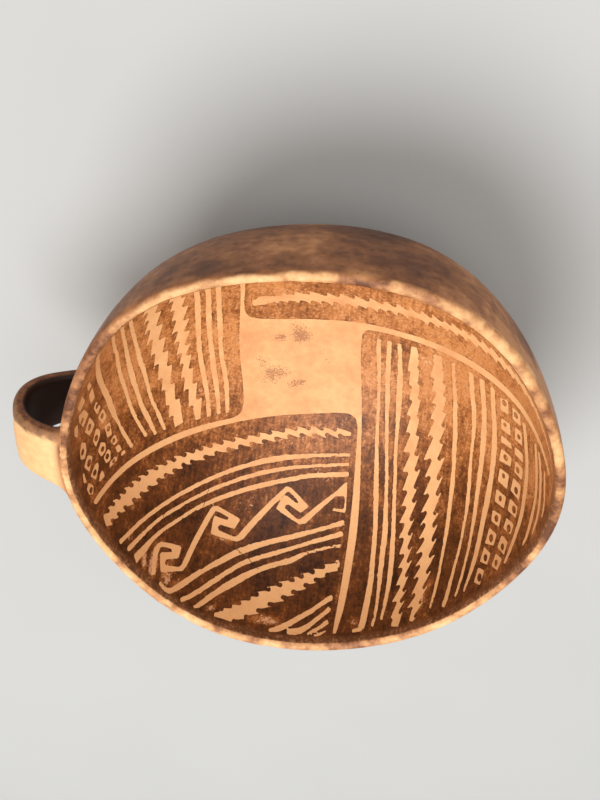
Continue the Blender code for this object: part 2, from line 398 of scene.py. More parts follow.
serrated_band(
    ((-90.4, 131, 3, 1.5), (-89.8, 124, 5, 1.5), (-89, 116, 5.3, 2.2), (-87.6, 108, 5.5, 2.2),
     (-86.3, 100, 5.8, 2.6), (-85.2, 92.5, 6.4, 2.4), (-84, 84, 6.1, 2.6), (-82.3, 77, 5.9, 2.4),
     (-81.2, 70, 5.8, 2.1), (-80.5, 61, 5.4, 2.2), (-79.2, 51, 5.2, 2), (-77.9, 42, 5.8, 1.8),
     (-77.1, 30, 5, 2.1), (-76.5, 20, 4.6, 2.3), (-76, 10, 4.2, 2), (-74.9, 1, 4, 2), (-73, -7, 3.8, 2.3),
     (-71.4, -18, 2.4, 2.2), (-71, -23.5, 2, 2.4)),
    (124, 116, 107, 100, 93, 85, 77.5, 71, 61.5, 52, 42.5, 29.5, 19.5, 9.5, 1.5, -7, -17),
    (126, 117.5, 109, 100, 91, 82.5, 75, 68, 57.5, 49, 37.5, 27.5, 18, 9, 0, -8, -16),
    along_axis=UP, leads=(-0.3, 1.4))
serrated_band(
    ((-78.4, 137.5, 3.6, 3), (-76.6, 130, 3.8, 1.6), (-75, 123.5, 4, 1), (-74, 114, 3.8, 1),
     (-72.4, 105, 3.7, 1.1), (-70.9, 97, 3.8, 1), (-68.7, 90, 4, 1.3), (-67.1, 83, 4, 1.3),
     (-66.4, 76, 4.2, 1.4), (-65.7, 68, 4.3, 1.6), (-64.9, 60, 4.4, 2), (-64.1, 50, 4.6, 1.8),
     (-63.2, 42, 4.2, 1.3), (-62.2, 30, 3.4, 1.6), (-61.6, 20, 3, 1.7), (-61.4, 10, 2.8, 1.5),
     (-60, 0, 2.6, 1.6), (-58.5, -10, 2.2, 1.8), (-58, -23.8, 1, 2)),
    (133, 123.5, 114, 104, 96.5, 88, 80.5, 71.5, 63, 53, 42, 31, 21, 11.5, 2, -7),
    (128.5, 121.5, 115, 106.5, 99, 92, 84.5, 76.5, 66.5, 59, 49.5, 41, 29.5, 19, 8, -1.5, -11.5, -17.5),
    along_axis=UP)
print("left panel:", len(open_shapes), "open shapes so far")

# %% [markdown]
# The two columns of small squares lie side by side up the wall. The painter made no two alike, so
# each is given its own corners and its own dot.

# %% Left panel: small squares
LEFT_SQUARES = (
    ((-141.5, 86), (-134.3, 88.3), (-133, 79.5), (-140, 77.2), (-138, 83, 4.4, 4)),
    ((-140.5, 73), (-132.2, 76), (-131.5, 67), (-139.5, 66), (-136.3, 71, 3.6, 3.4)),
    ((-139.5, 61), (-131, 65), (-130, 55.5), (-138.5, 54), (-134.8, 59, 3.8, 4)),
    ((-138, 49.5), (-129.5, 51.2), (-127.8, 45), (-136.5, 42.5), (-133.3, 47, 3.4, 3.2)),
    ((-136.5, 38), (-127, 40), (-125.5, 33), (-135, 31), (-130.7, 35.4, 2.6, 2.4)),
    ((-133.5, 27), (-124.5, 28.2), (-123, 20.5), (-131.5, 18.5), (-127.6, 22.4, 2.4, 2.2)),
    ((-130.5, 13.5), (-121, 17), (-120, 9.3), (-129.5, 8), (-125, 11.7, 3.6, 2.8)),
    ((-127.5, 3.5), (-118.5, 6), (-117.5, 2), (-126, 0.9)),
    ((-124, -3), (-116.5, -1.5), (-114.5, -8), (-121.5, -9.5), (-118.2, -6, 2.2, 2.2)),
    ((-119, -14.5), (-113, -12.5), (-111, -20), (-116.5, -23), (-114.5, -19, 3.2, 3.2)),
    ((-153, 68), (-145, 70.5), (-144.5, 62.5), (-152.5, 60), (-148.5, 66, 3.2, 3.2)),
    ((-153, 57), (-143.5, 59), (-143, 50.8), (-151, 49), (-148.1, 55, 3.6, 3)),
    ((-151, 44), (-142, 47), (-141.5, 40), (-150, 37.5), (-147, 43, 4, 3.8)),
    ((-149.5, 33.5), (-140, 36), (-138.5, 29), (-147.5, 27), (-145, 31, 4, 3.4)),
    ((-146.5, 23.5), (-136.5, 25), (-135.5, 17), (-143.5, 15), (-141, 21, 3.6, 3.2)),
    ((-142.5, 12), (-134.5, 13.5), (-133, 7), (-140.5, 5.5), (-136.7, 10, 3.4, 2.8)),
    ((-139, 2.5), (-130.5, 4), (-129, 0), (-136.5, -2)),
    ((-134.5, -6), (-127.5, -4), (-125.5, -11.5), (-131, -13), (-130, -8.5, 2.4, 2.4)),
    ((-129.5, -16), (-122.5, -14.5), (-120.5, -22), (-127, -23), (-124.2, -19, 3.2, 3)))
for square in LEFT_SQUARES:
    dotted_square(*square)
print("left panel done,", len(open_shapes), "open shapes so far")

# %% [markdown]
# ## The panel on the far wall
# Short slanted strokes fill the corner at the rim. Below them lie a serrated band, three lines, a row
# of key frets, three more lines and a second serrated band.

# %% Far panel: strokes and bands
CORNER_LINES = (
    ((-26, 148.3, 1.2), (-21, 151, 1.6), (-17, 152, 1)),
    ((-26.3, 142.6, 3.2), (-20, 147.2, 2.4), (-12, 151.4, 1.8)),
    ((-26.3, 134.6, 3), (-20, 140, 2.8), (-13, 145.5, 3.2), (-6, 149.3, 4.2), (3, 149.8, 3.2)),
    ((-26.6, 128, 3), (-20, 132.2, 3), (-13, 137.2, 3), (-5, 141.4, 3.2), (2, 145, 3.6), (10, 148, 3.6),
     (17, 148.6, 2)))
for line in CORNER_LINES:
    open_line(*line)
serrated_band(
    ((-26.6, 111, 1.8, 2.2), (-20, 113.2, 2.6, 2), (-12, 117, 3.6, 1.8), (-5, 120.2, 4.2, 2.2),
     (1, 122.8, 4.6, 2.6), (8, 125.6, 5, 3), (16.5, 128.7, 5, 3.4), (24.5, 131.6, 5.2, 3.8),
     (31, 134, 5.2, 4), (38, 136, 5, 4), (45, 137, 4.6, 3.8), (51, 136.8, 3.4, 3), (57.5, 135.6, 1, 1)),
    (-20, -12.5, -6.2, 1.5, 8.6, 17.4, 26, 34.5, 43),
    (-17.4, -11, -4.5, 1.5, 9.1, 16.9, 24.8, 30.7, 37.8, 45.5, 52.8),
    along_axis=ACROSS, leads=(-0.3, 1.1), finger_wide=2.8, deeper=0.8)
FAR_LINES = (
    ((-27, 111, 1.6), (-26.6, 107.5, 1.4), (-25, 107.8, 1)),
    ((-27, 99.5, 2.6), (-24, 99.6, 1.6), (-10, 103.3, 1.5), (-3, 105.7, 2.2), (3, 108.4, 3.4),
     (12, 110.4, 2.8), (22, 112.7, 3), (32, 115.7, 3.6), (42, 119.2, 4.4), (52, 122.4, 3.9), (62, 126, 3.5),
     (70, 128.4, 2.6), (74.5, 128.6, 1.2)),
    ((-27.3, 92.3, 3), (-20, 95, 2.5), (-10, 98, 2.4), (0, 101, 2.1), (12, 104.1, 2.4), (24, 106.7, 2.5),
     (34, 108.9, 2.6), (44, 112.3, 2.9), (55, 116.3, 3.1), (66, 119.9, 3), (76, 122, 3), (84, 122.3, 2.4)),
    ((-27.3, 86.4, 3), (-20, 89, 2.4), (-10, 92.2, 2.3), (0, 94.8, 2.9), (10, 97, 2.9), (20, 98.9, 3),
     (30, 101, 3.6), (40, 103.3, 3.5), (50, 106.2, 3.5), (60, 108.8, 2.8), (70, 111.3, 3.4),
     (80, 113.6, 3.8), (90, 114.8, 3.4), (95.5, 112.8, 2.6), (100, 107, 2)),
    ((-27, 60.2, 2.6), (-18, 61.6, 2.4), (-6, 62.8, 2.4), (6, 64.8, 2.5), (18, 67, 2.7), (30, 69, 2.7),
     (42, 71.2, 2.6), (54, 73.2, 2.5), (66, 75.3, 2.2), (78, 77.9, 2.2), (90, 79.7, 2.3), (100, 81.6, 3),
     (108, 84, 4.6), (118, 85.6, 6)),
    ((-27, 55, 1.6), (-14, 56.6, 1.7), (-5, 57.6, 1.6), (6, 58.7, 1.8), (16, 60.1, 2.2), (28, 62, 2.4),
     (40, 64.4, 2.3), (52, 66.6, 2.3), (64, 68.7, 2), (76, 70.8, 2), (88, 72.3, 2.2), (100, 74.2, 2.3),
     (112, 76.4, 2.9), (123, 77.6, 3.4)),
    ((-27, 49.8, 1.6), (-14, 51.1, 1.9), (0, 52.3, 2.5), (10, 53.2, 3), (20, 54.5, 3.2), (32, 56.6, 2.4),
     (44, 58.8, 2.4), (56, 61.2, 2.4), (68, 63.3, 2.5), (80, 65, 2.5), (92, 66.5, 2.6), (104, 67.8, 2.8),
     (116, 69, 2.9), (128.5, 69.6, 3.2)))
for line in FAR_LINES:
    open_line(*line)
serrated_band(
    ((-26.5, 38, 2, 1), (-12, 38, 2.4, 1.2), (2, 38.6, 2.6, 1.3), (16, 40.8, 2.6, 1.4),
     (30, 42.8, 2.8, 1.6), (44, 44.2, 3, 1.8), (56, 45.2, 3.3, 2), (65, 45.6, 3.5, 2.2),
     (71, 45.9, 3.8, 1.9), (77, 46.7, 4, 2.2), (83, 46.9, 4.2, 2.6), (90, 47.4, 4.8, 2.9),
     (97, 47.8, 5.5, 3.6), (103, 48.5, 5.6, 3.6), (109, 48.9, 5.6, 3.6), (118, 49.3, 5.5, 3.4),
     (125, 49.7, 5.5, 3.2), (131, 50, 5, 3), (137, 50.2, 3.5, 3)),
    (*range(-20, 58, 7), 65.9, 71.9, 78, 83.8, 89.8, 97.1, 103.6, 110.1, 117.7, 124.5, 131),
    (*range(-17, 54, 7), 59, 64.2, 69.4, 76.2, 82.2, 89.1, 96, 102.2, 108.1, 114.6, 119.8, 125.8, 131.5,
     136.4),
    along_axis=ACROSS, leads=(0.2, 0.2), finger_wide=2.5, deeper=0.7)
print("far panel:", len(open_shapes), "open shapes so far")

# %% [markdown]
# The key frets are one pale line that folds back on itself three times. One fret is drawn once, as
# shares of the way from its peak to its outer corner and to its left tip, and is then set in place by
# those three points. Last, the line is closed at both ends of the row.

# %% Far panel: key frets
FRET_AHEAD = (
    (-0.197, 0.214), (0, 0), (0.592, -0.027), (1, 0), (0.983, 0.524), (0.93, 0.823), (0.64, 0.787),
    (0.37, 0.788), (0.429, 0.909), (0.687, 1.008), (0.918, 1.05))
FRET_RETURNING = (
    (0.047, 0.221), (0.161, 0.161), (0.726, 0.254), (0.775, 0.371), (0.685, 0.512), (0.154, 0.504),
    (0, 1), (0.873, 1.265), (1.06, 1.19))
FRETS = (                               # peak, outer corner to its right, left tip
    ((0, 89), (14, 80.5), (-5.5, 79.5)), ((38, 97), (55.5, 90.5), (35.5, 85)),
    ((79, 106.5), (97.5, 102), (77.3, 93)))
FRET_CORNER = 0.7                       # mm cut off its corners


def key_frets(start_ahead, start_returning, end_ahead, end_returning):
    """The row of key frets between its two ends: out along one side, and back along the other."""
    ahead, returning = list(start_ahead), list(start_returning)
    for peak, corner, tip in FRETS:
        peak, corner, tip = (np.array(point, float) for point in (peak, corner, tip))
        ahead += [peak + a * (corner - peak) + b * (tip - peak) for a, b in FRET_AHEAD]
        returning += [peak + a * (corner - peak) + b * (tip - peak) for a, b in FRET_RETURNING]
    open_patch(*ahead, *end_ahead, *reversed(end_returning), *reversed(returning), soft=FRET_CORNER)


key_frets(
    ((-27.5, 81.4), (-19, 80.8), (-19.4, 79.4), (-26.2, 79.6), (-26, 72.4), (-20.5, 73)),
    ((-26.6, 64), (-21, 70)),
    ((97.5, 91.7), (100, 96.7), (102.5, 101.5)),
    ((100.4, 87.5), (103.8, 95.8), (106.3, 100.8)))
dark_dot(-22.2, 76.2, 6, 6)
print("far panel done,", len(open_shapes), "open shapes so far")

# %% [markdown]
# ## The right panel
# It repeats the left one at the handle's side: three lines, two serrated bands, three lines, a wide
# dark band, one line and slanted columns of small squares up to the rim. The lines run on down the
# near wall.

# %% Right panel
RIGHT_LINES = (
    ((42.5, 25, 2), (42.4, 12, 2.6), (42.7, 0, 2.4), (43.8, -10, 2.3), (44.1, -22, 2.4), (43.6, -34, 3),
     (43.2, -46, 2.7), (42, -60, 2.7), (40.5, -90, 2.8), (39.5, -125, 3), (39, -158, 3)),
    ((47.5, 25, 2), (47.7, 12, 2.5), (48.3, 0, 3), (49, -12, 2.8), (49.5, -26, 2.6), (49.4, -40, 2.9),
     (48.2, -52, 2.9), (47.2, -64, 2.8), (46, -92, 2.8), (45.2, -125, 3), (45, -156, 3)),
    ((53.2, 25, 2.4), (53.4, 12, 2.4), (54.3, 0, 2.7), (55.3, -14, 2.6), (55.7, -28, 2.7), (55.2, -40, 3),
     (54.3, -52, 3.1), (53.3, -64, 3.2), (52.2, -92, 3), (51.4, -124, 3), (51, -154, 3)),
    ((80, 24, 1.8), (81.6, 18, 2.3), (83.7, 9, 1.8), (85.8, 1, 2), (87.2, -10, 2.1), (88.4, -21, 2.6),
     (90.2, -31, 2.8), (91.3, -42, 2.5), (92.1, -54, 2.4), (92.6, -68, 2.5), (92, -95, 2.6),
     (90, -130, 2.8)),
    ((86.4, 24, 2), (88.2, 17, 2.4), (90.4, 9, 3), (92.6, 0, 2.6), (94.2, -10, 2.4), (95.8, -20, 3.3),
     (97.2, -32, 3.2), (98.2, -44, 2.8), (98.5, -57, 2.4), (98.8, -70, 2.5), (98, -96, 2.6),
     (96, -126, 2.8)),
    ((92.4, 22, 2), (94.8, 15, 2), (97, 8, 2), (99, 0, 2.3), (100.6, -10, 2.1), (102.2, -21, 2.3),
     (104, -32, 2.5), (104.9, -44, 2.5), (105.2, -57, 2.5), (106, -70, 2.4), (105, -95, 2.6),
     (103, -120, 2.8)),
    ((103, 22.8, 2.6), (104.8, 17.5, 2.4), (107.2, 10, 2.4), (109.6, 1, 1.8), (111.8, -8, 3.2),
     (114, -20, 3.8), (116.2, -31, 3.6), (118.8, -44, 3.6), (120.3, -57, 4.2), (120.2, -72, 3.8),
     (119, -90, 3.6), (116, -108, 3.6)))
for line in RIGHT_LINES:
    open_line(*line)
serrated_band(
    ((59.8, 25, 1.6, 1.4), (60.6, 16, 3, 1.2), (62, 6, 3.4, 1.2), (63.2, -3.5, 3.2, 1.6),
     (63.8, -12.5, 2.8, 1.2), (64.4, -20, 3, 1), (65, -29, 3.6, 1.3), (65, -38.5, 4.2, 1.7),
     (64.9, -48, 4.4, 2), (64.4, -60, 4.4, 2.2), (63, -90, 4, 2.2), (61.6, -120, 4, 2.2),
     (61, -150, 3.8, 2.4)),
    (16.5, 5, -3.5, -12.8, -21, -30, -38.8, -48, *range(-57, -145, -9)),
    (13, 2, -8.5, -18, -26, -36.5, -46, -57.5, *range(-66, -145, -9)),
    along_axis=UP, leads=(0, -1.2))
serrated_band(
    ((71.4, 24.4, 2.4, 2.6), (72.5, 17, 3.4, 1.5), (73.8, 9, 3.6, 2.1), (75.2, -1.5, 3.5, 1.8),
     (76, -10, 3.8, 1.8), (76.8, -18, 4.3, 2), (78.6, -29, 4.5, 2.1), (79.7, -41, 5, 1.6),
     (80.2, -53, 5, 1.8), (79.6, -65, 4.8, 2), (78.4, -90, 4.6, 2.2), (77.2, -120, 4.4, 2.2),
     (76, -144, 4.2, 2.4)),
    (18.5, 11, 0.5, -8, -19.5, -29, -41, -51.5, -61, *range(-70, -140, -9)),
    (9, -2.5, -15.5, -27, -39, -52, -65, *range(-76, -140, -11)),
    along_axis=UP, leads=(-0.8, -1.4))
print("right panel:", len(open_shapes), "open shapes so far")

# %% [markdown]
# Its small squares stand in slanted columns and grow longer towards the near wall.

# %% Right panel: small squares
RIGHT_SQUARES = (
    ((108, 23.2), (112, 23.2), (111, 20.4), (108.5, 21)),
    ((110.5, 19.5), (114, 19.5), (115, 14.5), (111.5, 15)),
    ((112.2, 12.4), (115.6, 13), (117.6, 8), (113.3, 6.4), (115, 9.7, 1.8, 2.4)),
    ((115.4, 5), (119.2, 4.2), (120.2, -5), (115.4, -4.6), (117.5, -1, 2, 3.4)),
    ((117, -11), (121.2, -8), (124.2, -17), (119.4, -19.5), (120.7, -14.5, 2, 3.6)),
    ((121, -23), (124.6, -20), (126.8, -29), (124.4, -32.8), (123.8, -27, 2, 3.4)),
    ((125, -38), (129, -37), (130.2, -50), (126.4, -52)),
    ((127, -56), (130.4, -56), (131.4, -66), (128.8, -68)),
    ((115, 23.2), (122.6, 23.6), (121, 20.5), (116, 20), (118.2, 21.9, 2, 1.6)),
    ((120.5, 19.5), (124.2, 19), (125.2, 14), (120.4, 11.4), (118.8, 14.5), (122.2, 15.5, 2.4, 3)),
    ((122.4, 11), (126.6, 12), (128.8, 6), (125, 2.4), (121.4, 6), (124.6, 8, 2.4, 3)),
    ((125, -2), (129.6, 2), (131.2, -5), (127, -11), (123.8, -6), (128, -4, 2.6, 4)),
    ((127.4, -15), (133.2, -11.5), (137.2, -20), (131, -26.5), (132.4, -18.5, 2.6, 4.6)),
    ((132, -31), (138, -26), (141.4, -36), (142, -46), (136, -43), (138.4, -34, 2.6, 4.4)),
    ((134, -50), (140, -48), (143, -60), (137, -66)),
    ((127.4, 25.2), (133.6, 25.2), (131, 21), (128.4, 20)),
    ((135.5, 21.4), (139.4, 15), (133.4, 11.6), (130.4, 12.6), (130.6, 15.6), (135, 16.2, 3.2, 3.2)),
    ((139.5, 11.4), (143.4, 3.4), (138, -0.6), (133.8, 4.6), (138.2, 5.6, 3.4, 4.4)),
    ((141, -1), (145.2, -5), (144.6, -12), (141.4, -16.2), (137.8, -11), (138.4, -4.6), (142, -8, 3, 4)),
    ((145, -26), (148.2, -33), (147.5, -42), (144, -40), (143.5, -32)),
    ((141, 27.2), (144.6, 24), (145.6, 19), (142.5, 16.8), (138.8, 22.5), (142, 23, 3, 3.2)),
    ((144, 15), (147, 13), (146, 6), (144.5, 7)))
for square in RIGHT_SQUARES:
    dotted_square(*square)
print("right panel done,", len(open_shapes), "open shapes so far")

# %% [markdown]
# ## The near panel
# Only its first serrated band shows in the picture. The rest lies on the near wall, out of sight, and
# is finished in keeping with the other three: three lines, a wide dark band and a second serrated band.

# %% Near panel
serrated_band(
    ((-166, -40.5, 1, 1.2), (-150, -43.4, 2, 1.6), (-134, -46, 2.6, 1.8), (-118, -47.4, 3.4, 2),
     (-100, -47.8, 3.6, 2.2), (-82, -47.4, 3.4, 2), (-64, -46.6, 3.3, 1.9), (-53, -46.4, 3.4, 2),
     (-45, -46.4, 3.6, 1.8), (-32, -46.2, 3.6, 2.3), (-18, -47.2, 3.6, 2.1), (-8, -47.6, 3.5, 2.4),
     (0, -47.7, 3.5, 2.5), (12, -47, 2.6, 2.3), (25.5, -46.4, 1.8, 3)),
    (*range(-158, -129, 7), -123.5, -119, -112, -106, -99, -93, -86, -81, -75, -70, -64, -57.3, -53.2,
     -47.3, -41.7, -37.3, -32.1, -27.4, -21.5, -15, -9.3, -4, 1.6, 7.8, 12.6, 18),
    (-160.5, -153.5, -146.5, -139.5, -132.5, -125.5, -119.5, -113.5, -107.5, -100.5, -94.5, -88, -82.5,
     -76.5, -71.5, -65.5, -59.3, -53, -46.4, -39.6, -32.7, -25.3, -18, -11.8, -3.5, 4, 10.5, 20),
    along_axis=ACROSS, leads=(1, -0.8), finger_wide=2.4, deeper=0.4)
NEAR_LINES = (
    ((-166, -58, 2.4), (-130, -62.5, 2.8), (-90, -64.8, 2.8), (-50, -65.4, 2.8), (-10, -65.2, 2.8),
     (22, -65, 2.8)),
    ((-162, -65, 2.4), (-128, -69.5, 2.8), (-88, -71.8, 2.8), (-50, -72.4, 2.8), (-10, -72.2, 2.8),
     (22, -72, 2.8)),
    ((-158, -72, 2.4), (-126, -76.5, 2.8), (-88, -78.8, 2.8), (-50, -79.4, 2.8), (-10, -79.2, 2.8),
     (22, -79, 2.8)))
for line in NEAR_LINES:
    open_line(*line)
serrated_band(
    ((-142, -93, 3, 2), (-120, -96.4, 4.4, 2.2), (-90, -98.4, 4.6, 2.4), (-60, -99, 4.6, 2.2),
     (-30, -99, 4.6, 2.2), (0, -98.8, 4.4, 2.2), (21.5, -98.6, 4, 2.8)),
    range(-136, 9, 8),
    range(-132, 13, 8),
    along_axis=ACROSS)
NEAR_EDGE_LINES = (
    ((-126, -117, 2.4), (-95, -119.6, 2.8), (-50, -120.6, 2.8), (-10, -120.4, 2.8), (20, -120.2, 2.8)),
    ((-117, -124.4, 2.4), (-90, -126.6, 2.8), (-50, -127.6, 2.8), (-10, -127.4, 2.8), (20, -127.2, 2.8)),
    ((-108, -131.8, 2.4), (-85, -133.6, 2.8), (-50, -134.6, 2.8), (-10, -134.4, 2.8), (19, -134.2, 2.8)))
for line in NEAR_EDGE_LINES:
    open_line(*line)
print("near panel done,", len(open_shapes), "open shapes and", len(dark_marks), "dark marks")

# %% [markdown]
# ## How far from a brush stroke
# The finish needs to know, for any place inside, whether it is paint or open slip, and how far the
# next edge is. So each open outline gives a distance that is positive inside it, and the greatest one
# counts. Dots and other dark marks are then cut back out of it.

# %% Distances on the chart
FAR_FROM_EDGE = 6.0                     # mm past which the distance no longer matters
AT_A_TIME = 4000                        # points worked out together, so that the memory is enough


def inside_distance(points, outline):
    """Distance in mm to an outline on the chart, positive inside and negative outside."""
    end = np.roll(outline, -1, axis=0)
    run = end - outline
    squared_lengths = np.maximum((run ** 2).sum(axis=1), TINY)
    rise = np.where(np.abs(run[:, 1]) < TINY, TINY, run[:, 1])
    distance = np.empty(len(points))
    for first in range(0, len(points), AT_A_TIME):
        some = points[first:first + AT_A_TIME, None]
        share = np.clip(((some - outline) * run).sum(axis=2) / squared_lengths, 0, 1)
        gap = some - outline - share[..., None] * run
        nearest = np.sqrt((gap ** 2).sum(axis=2).min(axis=1))
        spans = (outline[:, 1] > some[..., 1]) != (end[:, 1] > some[..., 1])
        meets = outline[:, 0] + (some[..., 1] - outline[:, 1]) * run[:, 0] / rise
        crossings = (spans & (some[..., 0] < meets)).sum(axis=1)
        distance[first:first + AT_A_TIME] = np.where(crossings % 2 == 1, nearest, -nearest)
    return distance


def near_outline(points, outline):
    low, high = outline.min(axis=0) - FAR_FROM_EDGE, outline.max(axis=0) + FAR_FROM_EDGE
    return np.nonzero(((points > low) & (points < high)).all(axis=1))[0]


def slip_distance(points):
    """Distance in mm to the nearest edge of the paint: positive on open slip, negative on paint."""
    distance = np.full(len(points), -FAR_FROM_EDGE)
    for outline in open_shapes:
        close = near_outline(points, outline)
        distance[close] = np.maximum(distance[close], inside_distance(points[close], outline))
    for outline in dark_marks:
        close = near_outline(points, outline)
        distance[close] = np.minimum(distance[close], -inside_distance(points[close], outline))
    return np.clip(distance, -FAR_FROM_EDGE, FAR_FROM_EDGE)

# %% [markdown]
# ## Sheets wrapped onto the wall
# A bowl could be turned in one go, but then its faces would crowd at the middle of the floor and grow
# wide at the rim, just where the paint is finest. So flat grids are wrapped onto the wall instead. A
# square grid is rounded into a disc for the inside, a long one goes round over the lip, and a coarser
# one covers the outside.

# %% Grids and their points
def points_of(sheet):
    places = np.empty(len(sheet.data.vertices) * 3)
    sheet.data.vertices.foreach_get("co", places)
    return places.reshape(-1, 3)


def move_points(sheet, points):
    sheet.data.vertices.foreach_set("co", np.ascontiguousarray(points, dtype=float).ravel())
    sheet.data.update()


def new_grid(name, columns, rows):
    """A flat grid primitive, two units wide, and how far across and up it each point lies."""
    bpy.ops.object.select_all(action="DESELECT")
    bpy.ops.mesh.primitive_grid_add(x_subdivisions=columns, y_subdivisions=rows, size=2)
    sheet = bpy.context.active_object
    sheet.name = name
    return sheet, points_of(sheet)[:, 0], points_of(sheet)[:, 1]


def number_of(place, steps):
    """Which column or row of a grid a place across or up it belongs to."""
    return np.rint((place + 1) / 2 * steps).astype(int)


def mark(sheet, **values):
    """Keep a number at each point, for the finish to read later."""
    for name, numbers in values.items():
        layer = sheet.data.attributes.get(name) or sheet.data.attributes.new(name, "FLOAT", "POINT")
        spread = np.broadcast_to(np.asarray(numbers, float), len(sheet.data.vertices))
        layer.data.foreach_set("value", np.ascontiguousarray(spread))


def marked(sheet, name):
    values = np.empty(len(sheet.data.vertices))
    sheet.data.attributes[name].data.foreach_get("value", values)
    return values


def lay_on_wall(sheet, way, angle):
    """Put the points on the wall, and mark where on it they are."""
    move_points(sheet, on_wall(way, angle))
    mark(sheet, way=way, angle=angle, strap=0, strap_face=0)

# %% [markdown]
# The floor's sheet is a square grid. Each ring of squares round its middle becomes a circle, so the
# squares stay nearly even and none of them crowd at the middle.

# %% Floor of the inside
FINE = 136                              # squares across the floor, a multiple of 8 so that columns meet
FLOOR_WAY = 90 * MM                     # how far up the inside the floor's sheet reaches
floor_sheet, x, y = new_grid("floor_sheet", FINE, FINE)
wide = np.abs(x) > np.abs(y)
reach = np.where(wide, x, y)
other = np.where(wide, y, x)
eighth = math.pi / 4 * other / np.where(np.abs(reach) < TINY, 1, reach)
angle = np.where(wide, eighth, math.pi / 2 - eighth) + np.where(reach < 0, math.pi, 0)
lay_on_wall(floor_sheet, np.abs(reach) * FLOOR_WAY, angle)
print("floor:", len(x), "points, mm apart:", in_mm([FLOOR_WAY * 2 / FINE]))

# %% [markdown]
# The wall's sheet goes on with as many columns as the floor's edge has points. Its last row lies
# outside, under the lip, where the sheet meets a coarser one. There the points are snapped to every
# fourth column, and merging them later turns the squares of that row into triangles.

# %% Wall and lip
COLUMNS_ROUND = 4 * FINE
COARSER = 4                             # columns of the wall for each one outside
WALL_ROWS = 60
lip_rows = LIP_TOP + np.array((-3.1, -2.1, -1.1, -0.2, 0.4)) * MM
shoulder_rows = LIP_TOP + np.array((0.95, 1.7, 2.6, 3.6, 4.8, 6.3, 8.2, 10.6)) * MM
wall_ways = np.concatenate((np.linspace(FLOOR_WAY, INSIDE_END, WALL_ROWS), lip_rows, shoulder_rows[:1]))
last_row = len(wall_ways) - 1
wall_sheet, x, y = new_grid("wall_sheet", COLUMNS_ROUND, last_row)
column, row = number_of(x, COLUMNS_ROUND), number_of(y, last_row)
column = np.where(row == last_row, np.floor(column / COARSER + 0.5) * COARSER, column)
lay_on_wall(wall_sheet, wall_ways[row], (column / FINE - 0.5) * math.pi / 2)
print("wall and lip:", len(x), "points")

# %% [markdown]
# ## The outside and the gap for the handle
# The outside carries no painted lines, so its grid is coarser: one column for every four of the lip.
# A window is left out of it at the handle, where the wall has to meet the two roots of the strap.

# %% Outside of the bowl
OUTSIDE_COLUMNS = COLUMNS_ROUND // COARSER
BODY_ROWS = 36
BODY_GAP = 3 * MM                       # from the last row of the shoulder to the first of the body
COLUMN = 2 * math.pi / OUTSIDE_COLUMNS
WINDOW_COLUMNS = (-6, 7)                # first and last column round the window, from the handle's middle
WINDOW_DOWN = 72 * MM                   # how far below the lip's top the window may reach
window_sides = tuple(number * COLUMN for number in WINDOW_COLUMNS)
body_rows = np.linspace(shoulder_rows[-1] + BODY_GAP, FLAT_EDGE, BODY_ROWS)
outside_ways = np.concatenate((shoulder_rows, body_rows))
window_ends = (outside_ways[0], outside_ways[outside_ways < LIP_TOP + WINDOW_DOWN][-1])
outside_sheet, x, y = new_grid("outside_sheet", OUTSIDE_COLUMNS, len(outside_ways) - 1)
angle, way = x * math.pi, outside_ways[number_of(y, len(outside_ways) - 1)]
lay_on_wall(outside_sheet, way, angle)


def face_means(sheet, values):
    """Mean of a number over the four corners of each square."""
    corners = np.empty(len(sheet.data.loops), int)
    sheet.data.loops.foreach_get("vertex_index", corners)
    return values[corners].reshape(-1, 4).mean(axis=1)


def pick(sheet, kind, chosen):
    """Go into edit mode with these faces or points selected, and nothing else."""
    bpy.ops.object.mode_set(mode="EDIT")
    bpy.ops.mesh.select_mode(type=kind)
    bpy.ops.mesh.select_all(action="DESELECT")
    bpy.ops.object.mode_set(mode="OBJECT")
    parts = sheet.data.polygons if kind == "FACE" else sheet.data.vertices
    parts.foreach_set("select", chosen)
    sheet.data.update()
    bpy.ops.object.mode_set(mode="EDIT")


middle_angle, middle_way = face_means(outside_sheet, angle), face_means(outside_sheet, way)
in_window = (middle_angle > window_sides[0]) & (middle_angle < window_sides[1])
in_window &= (middle_way > window_ends[0]) & (middle_way < window_ends[1])
pick(outside_sheet, "FACE", in_window)
bpy.ops.mesh.delete(type="FACE")
bpy.ops.object.mode_set(mode="OBJECT")
print("outside:", len(outside_sheet.data.polygons), "faces,", int(in_window.sum()), "left out for the handle")

# %% [markdown]
# ## The strap handle
# The strap is a flattened roll of clay. It springs level from the lip, turns down and comes back into
# the wall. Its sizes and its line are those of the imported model, and its cross-section is a bar with
# round edges.

# %% Line and section of the strap
STRAP_WIDTH = 28.0 * MM
STRAP_THICKNESS = 6.3 * MM
STRAP_EDGE = 2.7 * MM
HANDLE_REACH = 23.4 * MM
TOP_ROOT = 4.4 * MM
FOOT_ROOT = 49.0 * MM
ROOT_GRIP = 0.6
TOP_FLARE = 10.0 * MM
FOOT_FLARE = 9.0 * MM
FLARE_LENGTH = 0.33
STRAP_SHIFT = -0.4 * MM
TOP_SHIFT = 4.2 * MM
WIDEST_SHARE = 0.44
TOP_RUN = 0.75
SIDE_RUN = 0.28
FOOT_RUN = 0.95
FOOT_RISE = 0.08
HALF_LINE_POINTS = 200                  # points along each half of the line
EDGE_POINTS = 1440                      # fine points round the section, before they are spaced evenly
SECTION_POINTS = 64
NUDGE = 0.5 * MM                        # to either side along the line, for the direction of the strap


def outer_way_at(down):
    """Distance along the wall to the outside, this far below the lip."""
    outer = WAY > LIP_TOP
    return float(np.interp(down, RIM_HEIGHT - WAY_UP[outer], WAY[outer]))


